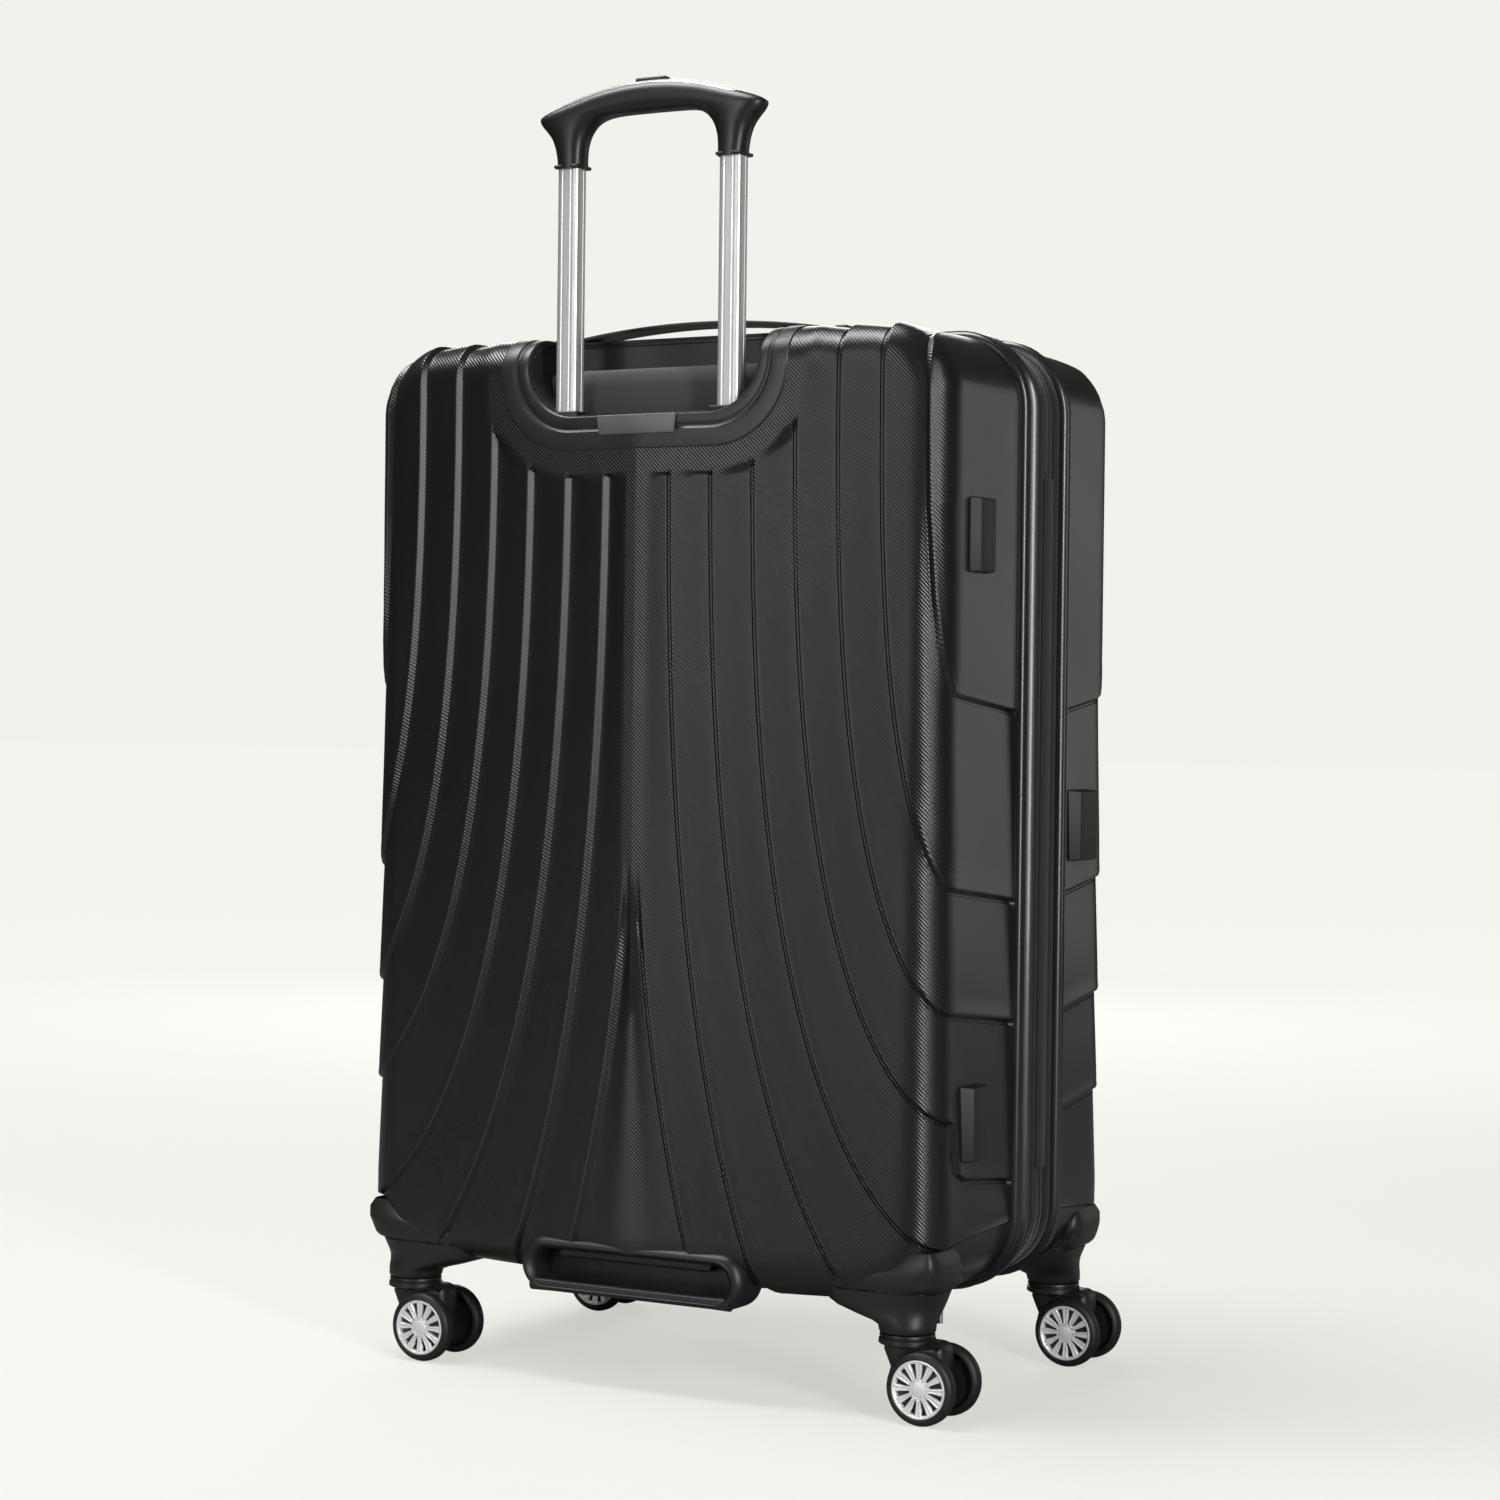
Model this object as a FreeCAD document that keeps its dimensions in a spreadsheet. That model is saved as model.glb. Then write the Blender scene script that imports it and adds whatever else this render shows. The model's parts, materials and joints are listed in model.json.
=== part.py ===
import FreeCAD, Part
import os
from types import SimpleNamespace

import Sketcher
from FreeCAD import Placement, Rotation, Vector

# A large four-wheeled hard-shell travel case, in millimetres.
# The origin is at the middle of its footprint, on the floor. +Z is up, the
# telescopic handle stands on the +Y side (the back), and the lid is the -Y half.

DIMENSIONS = {
    # outline of the two shells
    "shell_half_w": 248.0,
    "shell_low": 79.0,
    "shell_high": 785.0,
    "outline_r": 55.0,
    "shell_y": 152.0,
    "ridge_y": 162.0,
    "ridge_crest": 1.5,
    "edge_fillet": 28.0,
    "wall": 3.0,
    # bands across the side, from the back to the lid
    "back_rim_y": 24.0,
    "back_frame_y": 2.0,
    "expansion_y": -17.0,
    "zip_y": -34.0,
    "lid_frame_y": -45.0,
    "lid_rim_y": -60.0,
    "bead": 5.0,
    "frame_inset": 10.0,
    "lip": 12.0,
    "lip_gap": 0.2,
    "tape_thick": 5.0,
    "sleeve_inset": 10.6,
    "sleeve_thick": 2.0,
    "sleeve_back_y": 34.0,
    "travel_gap": 0.3,
    "seat_gap": 0.3,
    "web_thick": 3.0,
    "web_step": 8.0,
    # handle cup and its bezel
    "bezel_y": 163.0,
    "bezel_half_w": 124.0,
    "bezel_low": 697.0,
    "bezel_r": 60.0,
    "bezel_deep": 13.0,
    "cup_half_w": 100.0,
    "cup_y": 100.0,
    "cup_floor": 726.0,
    "cup_r": 38.0,
    "cup_wall": 3.0,
    "plate_half_w": 33.0,
    "plate_low": 708.0,
    "plate_high": 722.0,
    "plate_proud": 0.6,
    "plate_sunk": 1.0,
    "plate_corner": 2.0,
    # telescopic handle
    "tube_x": 70.0,
    "tube_y": 144.0,
    "tube_w": 18.0,
    "tube_d": 14.0,
    "tube_wall": 1.5,
    "tube_r": 4.0,
    "outer_tube_w": 21.6,
    "outer_tube_d": 17.6,
    "outer_tube_r": 5.0,
    "bore_play": 0.6,
    "hole_play": 0.2,
    "inner_low": 305.0,
    "inner_high": 944.0,
    "outer_low": 122.0,
    "grip_half_w": 97.0,
    "grip_depth": 26.0,
    "grip_low": 909.0,
    "grip_under": 947.0,
    "grip_top": 970.0,
    "grip_arc_r": 224.8,
    "arch_corner": 25.0,
    "grip_skin": 2.5,
    "sleeve_half_w": 12.0,
    "horn_low": 936.0,
    "panel_half_w": 86.0,
    "panel_thick": 1.6,
    "panel_half_deep": 9.0,
    "button_half_l": 13.0,
    "button_half_w": 4.5,
    "button_top": 974.0,
    "button_travel": 2.5,
    "button_play": 0.4,
    "crossbar_low": 952.5,
    "crossbar_thick": 3.0,
    "crossbar_gap": 0.5,
    "crossbar_half_deep": 2.0,
    "crossbar_edge": 2.0,
    "hollow_edge": 4.0,
    "shaft_half": 3.0,
    "flank_corner": 8.0,
    "rod_r": 2.0,
    "rod_gap": 1.0,
    "pin_z": 320.0,
    "pin_r": 2.5,
    "pin_short": 0.1,
    "bracket_edge": 4.0,
    "bracket_half_deep": 9.0,
    "bracket_corner": 3.0,
    # bottom grip
    "foot_grip_half_w": 98.0,
    "foot_grip_y": 131.5,
    "foot_grip_low": 66.0,
    "foot_grip_high": 110.0,
    "foot_grip_corner": 8.0,
    "pocket_high": 100.0,
    "window_low": 77.0,
    "window_high": 92.0,
    "pocket_wall": 4.5,
    "pocket_half_w": 65.0,
    "bar_deep": 5.0,
    # side feet
    "foot_deep": 7.0,
    "foot_corner": 4.0,
    "foot_y": 95.5,
    "foot_w": 33.0,
    "foot_tall": 56.0,
    "foot_upper_z": 633.0,
    "foot_lower_z": 210.0,
    "lid_foot_y": -89.5,
    "lid_foot_w": 39.0,
    "lid_foot_z": 420.0,
    # linings and straps
    "lining_half_w": 222.0,
    "lining_low": 106.0,
    "lining_high": 762.0,
    "lining_back_y": 130.0,
    "lining_lid_y": -140.0,
    "cloth": 1.5,
    "lining_corner": 40.0,
    "mouth_step": 6.0,
    "lid_mouth_step": 2.0,
    "cup_room": 5.0,
    "strap_w": 30.0,
    "strap_thick": 1.8,
    "strap_lower_z": 300.0,
    "strap_upper_z": 560.0,
    "buckle_half_w": 28.0,
    "buckle_deep": 8.0,
    "buckle_edge": 6.0,
    # hinge of the lid
    "hinge_low": 165.0,
    "hinge_high": 681.0,
    # carry handles, measured from the face that they stand on
    "carry_y": 60.0,
    "carry_half_l": 117.0,
    "carry_w": 26.0,
    "carry_thick": 3.5,
    "carry_rise": 15.6,
    "carry_arc_r": 693.6,
    "leg_thick": 4.0,
    "leg_deep": 19.0,
    "leg_short": 9.0,
    "leg_play": 0.5,
    "stop_edge": 3.0,
    "anchor_half_l": 13.0,
    "anchor_tall": 7.0,
    "anchor_edge": 3.0,
    "anchor_corner": 6.0,
    "anchor_floor": 2.3,
    # casters
    "caster_x": 214.9,
    "caster_y": 126.5,
    "trail": 21.9,
    "wheel_r": 26.4,
    "hub_r": 19.5,
    "hub_window_r": 2.4,
    "hub_window_out": 1.5,
    "wheel_w": 12.0,
    "wheel_out": 27.0,
    "axle_r": 3.0,
    "axle_short": 0.5,
    "fork_half_w": 13.0,
    "neck_r": 20.0,
    "neck_tall": 8.0,
    "fork_back": 12.0,
    "fork_front": 17.0,
    "fork_drop": 11.0,
    "fork_r": 11.0,
    "stem_r": 6.0,
    "stem_deep": 13.0,
    "stem_room": 1.0,
    "housing_low": 62.0,
    "housing_high": 100.0,
    "housing_in_x": 166.0,
    "housing_in_y": 88.0,
    "housing_step": 0.5,
    "housing_corner": 26.0,
    "screw_r": 2.0,
    "screw_head_r": 4.0,
    "screw_head_tall": 2.5,
    "screw_step": 4.0,
    "running_fit": 0.05,
    # lock and zip pulls
    "lock_low": 385.0,
    "lock_high": 450.0,
    "lock_out_x": 260.0,
    "lock_in_y": -64.0,
    "lock_out_y": -41.0,
    "lock_corner": 5.0,
    "dial_r": 4.9,
    "dial_tall": 5.0,
    "dial_x": 258.6,
    "dial_y": -52.5,
    "dial_first_z": 402.0,
    "dial_pitch": 9.0,
    "dial_play": 0.4,
    "release_low": 432.0,
    "release_tall": 10.0,
    "release_in_y": -57.5,
    "release_proud": 2.5,
    "release_sunk": 2.0,
    "slider_upper_z": 468.0,
    "slider_lower_z": 368.0,
    "slider_half": 6.0,
    "slider_half_deep": 5.5,
    "cheek_thick": 1.1,
    "pull_x": 253.5,
    "pull_pin_r": 0.9,
    "pull_half_w": 4.0,
    "pull_eye_r": 1.7,
    "pull_play": 0.08,
    "pull_corner": 2.5,
    "pull_long": 32.0,
}


class Dim:
    """A length that carries its value and the expression that gives it in the sheet."""

    def __init__(self, value, text=None):
        self.value = float(value)
        self.text = text if text is not None else repr(round(self.value, 6))

    def __add__(self, other):
        other = as_dim(other)
        return Dim(self.value + other.value, f"({self.text} + {other.text})")

    def __radd__(self, other):
        return as_dim(other) + self

    def __sub__(self, other):
        other = as_dim(other)
        return Dim(self.value - other.value, f"({self.text} - {other.text})")

    def __rsub__(self, other):
        return as_dim(other) - self

    def __mul__(self, number):
        return Dim(self.value * number, f"({self.text} * {number})")

    __rmul__ = __mul__

    def __neg__(self):
        return self * -1


def as_dim(length):
    return length if isinstance(length, Dim) else Dim(length)


doc = FreeCAD.newDocument("travel_case")
sheet = doc.addObject("Spreadsheet::Sheet", "sizes")
for row, (name, number) in enumerate(DIMENSIONS.items(), start=1):
    sheet.set(f"A{row}", name)
    sheet.set(f"B{row}", str(number))
    sheet.setAlias(f"B{row}", name)
doc.recompute()
d = SimpleNamespace(**{name: Dim(number, f"sizes.{name}") for name, number in DIMENSIONS.items()})

NODES = []
SIDES = (-1, 1)
SIDE_TAGS = {-1: "low", 1: "high"}
# how far a cutting solid runs past the face that it opens
PAST = 5


# ---------------------------------------------------------------- building blocks

def bind(thing, prop, length):
    thing.setExpression(prop, as_dim(length).text)


def place(thing, x, y, z):
    for axis, length in zip("xyz", (x, y, z)):
        bind(thing, f"Placement.Base.{axis}", length)


def ordered(pair):
    """The two ends of a span, with the lower one first."""
    first, last = (as_dim(end) for end in pair)
    return (first, last) if first.value <= last.value else (last, first)


def block(name, x, y, z):
    """A plain box between two ends along each axis."""
    (x, x1), (y, y1), (z, z1) = (ordered(pair) for pair in (x, y, z))
    box = doc.addObject("Part::Box", name)
    bind(box, "Length", x1 - x)
    bind(box, "Width", y1 - y)
    bind(box, "Height", z1 - z)
    place(box, x, y, z)
    return box


AXIS_TURN = {
    "X": Rotation(Vector(0, 1, 0), 90),
    "Y": Rotation(Vector(1, 0, 0), -90),
    "Z": Rotation(),
}


def round_bar(name, axis, radius, span, x=0, y=0, z=0):
    """A cylinder along an axis. span is its two ends on that axis, and the others place it."""
    low, high = ordered(span)
    bar = doc.addObject("Part::Cylinder", name)
    bar.Placement = Placement(Vector(), AXIS_TURN[axis])
    bind(bar, "Radius", radius)
    bind(bar, "Height", high - low)
    centre = {"X": (low, y, z), "Y": (x, low, z), "Z": (x, y, low)}[axis]
    place(bar, *centre)
    return bar


def origin_part(body, role):
    return next(part for part in body.Origin.OriginFeatures if part.Role == role)


def body_sketch(body, plane, name):
    sketch = body.newObject("Sketcher::SketchObject", name)
    sketch.AttachmentSupport = [(origin_part(body, plane), "")]
    sketch.MapMode = "FlatFace"
    return sketch


def rounded_rectangle(sketch, wide, tall, radius):
    """A rectangle from the sketch's origin with four equal round corners."""
    w, h, r = wide.value, tall.value, radius.value
    right, up = Vector(1, 0, 0), Vector(0, 1, 0)
    corners = [(r, r), (w - r, r), (w - r, h - r), (r, h - r)]
    starts = [180, 270, 0, 90]
    ends = [
        (r * right, (w - r) * right),
        (w * right + r * up, w * right + (h - r) * up),
        ((w - r) * right + h * up, r * right + h * up),
        ((h - r) * up, r * up),
    ]
    lines = [sketch.addGeometry(Part.LineSegment(*pair)) for pair in ends]
    arcs = []
    for (u, v), start in zip(corners, starts):
        circle = Part.Circle(Vector(u, v, 0), Vector(0, 0, 1), r)
        first = start * 3.141592653589793 / 180
        arcs.append(sketch.addGeometry(Part.ArcOfCircle(circle, first, first + 3.141592653589793 / 2)))
    add = sketch.addConstraint
    for i in range(4):
        # each arc runs from the end of the line before it to the start of its own line
        add(Sketcher.Constraint("Tangent", arcs[i], 2, lines[i], 1))
        add(Sketcher.Constraint("Tangent", lines[i - 1], 2, arcs[i], 1))
    add(Sketcher.Constraint("Horizontal", lines[0]))
    add(Sketcher.Constraint("Horizontal", lines[2]))
    add(Sketcher.Constraint("Vertical", lines[1]))
    add(Sketcher.Constraint("Vertical", lines[3]))
    for arc in arcs[1:]:
        add(Sketcher.Constraint("Equal", arcs[0], arc))
    add(Sketcher.Constraint("PointOnObject", lines[0], 1, -1))
    add(Sketcher.Constraint("PointOnObject", lines[3], 1, -2))
    sizes = (
        ("corner", Sketcher.Constraint("Radius", arcs[0], r), radius),
        ("wide", Sketcher.Constraint("DistanceX", -1, 1, lines[1], 1, w), wide),
        ("tall", Sketcher.Constraint("DistanceY", -1, 1, lines[2], 1, h), tall),
    )
    for label, constraint, length in sizes:
        sketch.renameConstraint(add(constraint), label)
        bind(sketch, f"Constraints.{label}", length)


# plane of the sketch: (spans that the sketch takes, span of the pad, is the pad reversed)
SLAB_PLANES = {
    "XY_Plane": (0, 1, 2, False),
    "XZ_Plane": (0, 2, 1, True),
    "YZ_Plane": (1, 2, 0, False),
}


def slab(name, plane, x, y, z, corner):
    """A padded rounded rectangle that lies in the given plane."""
    spans = [ordered(pair) for pair in (x, y, z)]
    u, v, along, reverse = SLAB_PLANES[plane]
    body = doc.addObject("PartDesign::Body", name)
    sketch = body_sketch(body, plane, f"{name}_sketch")
    rounded_rectangle(sketch, spans[u][1] - spans[u][0], spans[v][1] - spans[v][0], as_dim(corner))
    pad = body.newObject("PartDesign::Pad", f"{name}_pad")
    pad.Profile = sketch
    pad.Reversed = reverse
    bind(pad, "Length", spans[along][1] - spans[along][0])
    place(body, *(span[0] for span in spans))
    return body


def joined(name, things):
    result = doc.addObject("Part::MultiFuse", name)
    result.Shapes = things
    return result


def shared(name, things):
    result = doc.addObject("Part::MultiCommon", name)
    result.Shapes = things
    return result


def cut(name, base, tools):
    tool = tools[0] if len(tools) == 1 else joined(f"{name}_tools", tools)
    result = doc.addObject("Part::Cut", name)
    result.Base = base
    result.Tool = tool
    return result


def loose(name, things):
    """Several separate solids kept as one object."""
    result = doc.addObject("Part::Compound", name)
    result.Links = things
    return result


def node(thing, label):
    """Marks an object as a sub-part, under the name that its file gets."""
    thing.Label = label
    NODES.append(thing)
    return thing


def outline(inset):
    """Spans across and up of the case's outline, and its corner radius, moved in by inset."""
    half = d.shell_half_w - inset
    return (-half, half), (d.shell_low + inset, d.shell_high - inset), d.outline_r - inset


def outline_slab(name, inset, y):
    x, z, corner = outline(as_dim(inset))
    return slab(name, "XZ_Plane", x, y, z, corner)


def outline_ring(name, outer, inner, y, inner_y=None):
    """A closed band that follows the case's outline."""
    y = ordered(y)
    past = (y[0] - 1, y[1] + 1)
    outside = outline_slab(f"{name}_outside", outer, y)
    return cut(name, outside, [outline_slab(f"{name}_inside", inner, past)])


# ---------------------------------------------------------------- shells and frames

def half_shell_volume(name, inset, rim_y, side):
    """The volume of one half of the case: a tray with a round far edge and a low ridge on its face."""
    inset = as_dim(inset)
    far = d.shell_y - inset
    tray = outline_slab(f"{name}_tray", inset, (rim_y, far * side))
    doc.recompute()
    pad = tray.Tip
    box = pad.Shape.BoundBox
    face_y = box.YMax if side > 0 else box.YMin
    far_edges = [
        f"Edge{i}"
        for i, edge in enumerate(pad.Shape.Edges, start=1)
        if abs(edge.BoundBox.YMin - face_y) < 0.01 and abs(edge.BoundBox.YMax - face_y) < 0.01
    ]
    fillet = tray.newObject("PartDesign::Fillet", f"{name}_edge")
    fillet.Base = (pad, far_edges)
    bind(fillet, "Radius", d.edge_fillet - inset)
    ridge = doc.addObject("Part::Wedge", f"{name}_ridge")
    ridge_sizes = {
        "Xmin": -(d.shell_half_w - d.edge_fillet),
        "Xmax": d.shell_half_w - d.edge_fillet,
        "X2min": -d.ridge_crest,
        "X2max": d.ridge_crest,
        "Ymin": as_dim(0),
        "Ymax": d.ridge_y - d.shell_y + 1,
        "Zmin": d.shell_low + d.edge_fillet,
        "Zmax": d.shell_high - d.edge_fillet,
        "Z2min": d.shell_low + d.edge_fillet,
        "Z2max": d.shell_high - d.edge_fillet,
    }
    for prop, length in ridge_sizes.items():
        bind(ridge, prop, length)
    if side > 0:
        place(ridge, 0, far - 1, 0)
    else:
        # the wedge is turned about the vertical axis, so its ridge points to -Y
        ridge.Placement = Placement(Vector(), Rotation(Vector(0, 0, 1), 180))
        place(ridge, 0, -far + 1, 0)
    return joined(name, [tray, ridge])


def frame(label, rim_y, front_y, side):
    """The ring that closes a shell's rim: a proud bead outside and a lip inside the shell."""
    ring = outline_ring(f"{label}_bead", -d.bead, d.frame_inset, (front_y, rim_y))
    lip = outline_ring(f"{label}_lip", d.wall + d.lip_gap, d.frame_inset, (rim_y, rim_y + side * d.lip))
    return node(joined(label, [ring, lip]), label)


def side_foot(name, y, wide, z):
    """A block that the case lies on, on its -X side."""
    half_w, half_t = wide * 0.5, d.foot_tall * 0.5
    x = (-d.shell_half_w - d.foot_deep, -d.shell_half_w)
    return slab(name, "YZ_Plane", x, (y - half_w, y + half_w), (z - half_t, z + half_t), d.foot_corner)


# ---------------------------------------------------------------- carry handles

SIDE_MIDDLE_Z = (d.shell_low + d.shell_high) * 0.5
CARRY_FACES = {
    "top": ((Dim(0), d.carry_y, d.shell_high), Rotation()),
    "side": ((d.shell_half_w, d.carry_y, SIDE_MIDDLE_Z), Rotation(Vector(0, 1, 0), 90)),
}


def on_face(thing, where):
    centre, turn = CARRY_FACES[where]
    thing.Placement = Placement(Vector(), turn)
    place(thing, *centre)
    return thing


def leg_spans(end, spread):
    """Where a handle's leg passes its face, wider by spread on each side."""
    outer = d.carry_half_l + spread
    inner = d.carry_half_l - d.leg_thick - spread
    half = d.carry_w * 0.5 + spread
    return (inner * end, outer * end), (-half, half)


def leg_slots(where):
    """The slots that the legs of a carry handle pass, through its anchors and the shell."""
    slots = []
    for end in SIDES:
        x, y = leg_spans(end, d.leg_play)
        slots.append(block(f"{where}_slot_{SIDE_TAGS[end]}", x, y, (-2 * PAST, 2 * PAST)))
    return on_face(joined(f"{where}_slots", slots), where)


def carry_handle(where):
    """A low arched strap whose legs slide in two anchors, and the anchors."""
    label = f"{where}_carry_handle"
    half_w = d.carry_w * 0.5
    arc_z = d.carry_rise - d.carry_arc_r
    under_y = (-half_w - PAST, half_w + PAST)
    band = cut(
        f"{label}_band",
        round_bar(f"{label}_over", "Y", d.carry_arc_r, (-half_w, half_w), z=arc_z),
        [round_bar(f"{label}_under", "Y", d.carry_arc_r - d.carry_thick, under_y, z=arc_z)],
    )
    reach_x = (-d.carry_half_l, d.carry_half_l)
    reach = block(f"{label}_reach", reach_x, (-half_w, half_w), (0, d.carry_rise + PAST))
    pieces = [shared(f"{label}_arch", [band, reach])]
    anchors = []
    for end in SIDES:
        tag = f"{label}_{SIDE_TAGS[end]}"
        x, y = leg_spans(end, as_dim(0))
        pieces.append(block(f"{tag}_leg", x, y, (-d.leg_deep, d.carry_rise - d.leg_short)))
        foot_x = (x[0] - d.stop_edge * end, x[1] + d.stop_edge * end)
        pieces.append(block(f"{tag}_stop", foot_x, y, (-d.leg_deep, -d.leg_deep + d.stop_edge)))
        middle = (d.carry_half_l - d.leg_thick * 0.5) * end
        pad_x = (middle - d.anchor_half_l, middle + d.anchor_half_l)
        pad_y = (-half_w - d.anchor_edge, half_w + d.anchor_edge)
        pad = slab(f"{tag}_pad", "XY_Plane", pad_x, pad_y, (0, d.anchor_tall), d.anchor_corner)
        slot_x, slot_y = leg_spans(end, d.leg_play)
        room_x = (0, (d.carry_half_l + d.leg_play) * end)
        room = block(f"{tag}_room", room_x, slot_y, (d.anchor_floor, d.anchor_tall + PAST))
        slot = block(f"{tag}_gap", slot_x, slot_y, (-PAST, d.anchor_tall + PAST))
        anchors.append(cut(f"{tag}_anchor", pad, [room, slot]))
    node(on_face(joined(label, pieces), where), label)
    node(on_face(loose(f"{where}_handle_anchors", anchors), where), f"{where}_handle_anchors")


# ---------------------------------------------------------------- casters

CASTERS = {"back_left": (-1, 1), "back_right": (1, 1), "front_left": (-1, -1), "front_right": (1, -1)}


def wheel_disc(label, centre_x, near_y, centre_z, outer, inner, windows=0):
    """A round disc about a Y axis with a bore, and a ring of windows through it if asked."""
    body = doc.addObject("PartDesign::Body", label)
    sketch = body_sketch(body, "XZ_Plane", f"{label}_sketch")
    for tag, radius in (("outside", outer), ("bore", inner)):
        circle = sketch.addGeometry(Part.Circle(Vector(), Vector(0, 0, 1), radius.value))
        sketch.addConstraint(Sketcher.Constraint("Coincident", circle, 3, -1, 1))
        size = sketch.addConstraint(Sketcher.Constraint("Radius", circle, radius.value))
        sketch.renameConstraint(size, tag)
        bind(sketch, f"Constraints.{tag}", radius)
    pad = body.newObject("PartDesign::Pad", f"{label}_pad")
    pad.Profile = sketch
    pad.Reversed = True
    bind(pad, "Length", d.wheel_w)
    if windows:
        window = body_sketch(body, "XZ_Plane", f"{label}_window")
        reach = (outer + inner) * 0.5 + d.hub_window_out
        radius = d.hub_window_r
        outline_circle = Part.Circle(Vector(reach.value, 0, 0), Vector(0, 0, 1), radius.value)
        circle = window.addGeometry(outline_circle)
        window.addConstraint(Sketcher.Constraint("PointOnObject", circle, 3, -1))
        for tag, constraint, length in (
            ("size", Sketcher.Constraint("Radius", circle, radius.value), radius),
            ("reach", Sketcher.Constraint("DistanceX", -1, 1, circle, 3, reach.value), reach),
        ):
            window.renameConstraint(window.addConstraint(constraint), tag)
            bind(window, f"Constraints.{tag}", length)
        pocket = body.newObject("PartDesign::Pocket", f"{label}_pocket")
        pocket.Profile = window
        bind(pocket, "Length", d.wheel_w + PAST)
        pattern = body.newObject("PartDesign::PolarPattern", f"{label}_ring")
        pattern.Originals = [pocket]
        pattern.Axis = (origin_part(body, "Y_Axis"), [""])
        pattern.Angle = 360
        pattern.Occurrences = windows
        body.Tip = pattern
    place(body, centre_x, near_y, centre_z)
    return body


def caster(place_name, side_x, side_y):
    """A twin-wheel caster that swivels on a stem. Its wheels trail to -X."""
    x, y = d.caster_x * side_x, d.caster_y * side_y
    axle_x, axle_z = x - d.trail, d.wheel_r
    tag = f"caster_{place_name}"
    neck_top = d.housing_low - d.travel_gap
    neck = round_bar(f"{tag}_neck", "Z", d.neck_r, (neck_top - d.neck_tall, neck_top), x=x, y=y)
    stem_top = d.housing_low + d.stem_deep
    stem = round_bar(f"{tag}_stem", "Z", d.stem_r, (neck_top - d.neck_tall * 0.5, stem_top), x=x, y=y)
    web_x = (axle_x - d.fork_back, x + d.fork_front)
    web_y = (y - d.fork_half_w, y + d.fork_half_w)
    web_z = (axle_z - d.fork_drop, neck_top - d.neck_tall * 0.5)
    web = slab(f"{tag}_web", "XZ_Plane", web_x, web_y, web_z, d.fork_r)
    bore_y = (y - d.fork_half_w - PAST, y + d.fork_half_w + PAST)
    bore = round_bar(f"{tag}_bore", "Y", d.axle_r, bore_y, x=axle_x, z=axle_z)
    node(cut(f"{tag}_fork", joined(f"{tag}_fork_solid", [neck, stem, web]), [bore]), f"{tag}_fork")
    half_axle = d.wheel_out - d.axle_short
    axle = round_bar(f"{tag}_axle", "Y", d.axle_r, (y - half_axle, y + half_axle), x=axle_x, z=axle_z)
    node(axle, f"{tag}_axle")
    # the wheel with the bright hub faces out, away from the middle of the case
    out_y = y + d.wheel_out - d.wheel_w if side_y > 0 else y - d.wheel_out
    in_y = y - d.wheel_out if side_y > 0 else y + d.wheel_out - d.wheel_w
    bore_r = d.axle_r + d.running_fit
    tyre = wheel_disc(f"{tag}_tyre_outer", axle_x, out_y, axle_z, d.wheel_r, d.hub_r)
    hub = wheel_disc(f"{tag}_hub_outer", axle_x, out_y, axle_z, d.hub_r, bore_r, windows=12)
    inner = wheel_disc(f"{tag}_wheel_inner", axle_x, in_y, axle_z, d.wheel_r, bore_r)
    for body in (tyre, hub, inner):
        node(body, body.Name)


def caster_housings(label, half_volume, side_y):
    """The two corner mouldings under one shell, each with the bore of its caster's stem."""
    housings = []
    for side_x in SIDES:
        tag = f"{label}_{SIDE_TAGS[side_x]}"
        x = (d.housing_in_x * side_x, (d.shell_half_w - d.housing_step) * side_x)
        y = (d.housing_in_y * side_y, (d.shell_y - d.housing_step) * side_y)
        solid = slab(f"{tag}_solid", "XY_Plane", x, y, (d.housing_low, d.housing_high), d.housing_corner)
        bore_z = (d.housing_low - PAST, d.housing_low + d.stem_deep + d.stem_room)
        bore = round_bar(
            f"{tag}_bore", "Z", d.stem_r + d.running_fit, bore_z,
            x=d.caster_x * side_x, y=d.caster_y * side_y,
        )
        housings.append(cut(f"{tag}_cut", solid, [half_volume, bore]))
    return node(loose(label, housings), label)


# ---------------------------------------------------------------- the back half

back_volume = half_shell_volume("back_volume", 0, d.back_rim_y, 1)
back_inside = half_shell_volume("back_inside", d.wall, d.back_rim_y - 1, 1)

# ends of the cutting blocks, far enough out to keep their round corners clear of the shell
above_shell = d.shell_high + d.bezel_r * 1.5
behind_shell = d.bezel_y + d.cup_r * 1.5

bezel_cut = slab(
    "bezel_cut", "XZ_Plane", (-d.bezel_half_w - d.seat_gap, d.bezel_half_w + d.seat_gap),
    (d.bezel_y - d.bezel_deep - d.seat_gap, d.bezel_y + PAST),
    (d.bezel_low - d.seat_gap, above_shell), d.bezel_r,
)
tub_out = d.cup_wall + d.seat_gap
tub_cut = slab(
    "tub_cut", "XY_Plane", (-d.cup_half_w - tub_out, d.cup_half_w + tub_out),
    (d.cup_y - tub_out, behind_shell), (d.cup_floor - tub_out, above_shell), d.cup_r + d.cup_wall,
)
grip_cut = block(
    "grip_cut", (-d.foot_grip_half_w - d.seat_gap, d.foot_grip_half_w + d.seat_gap),
    (d.foot_grip_y - d.seat_gap, d.bezel_y + PAST),
    (d.foot_grip_low - PAST, d.foot_grip_high + d.seat_gap),
)
openings = [bezel_cut, tub_cut, grip_cut, leg_slots("top"), leg_slots("side")]
node(cut("back_shell", back_volume, [back_inside] + openings), "back_shell")
frame("back_frame", d.back_rim_y, d.back_frame_y, 1)

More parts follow.
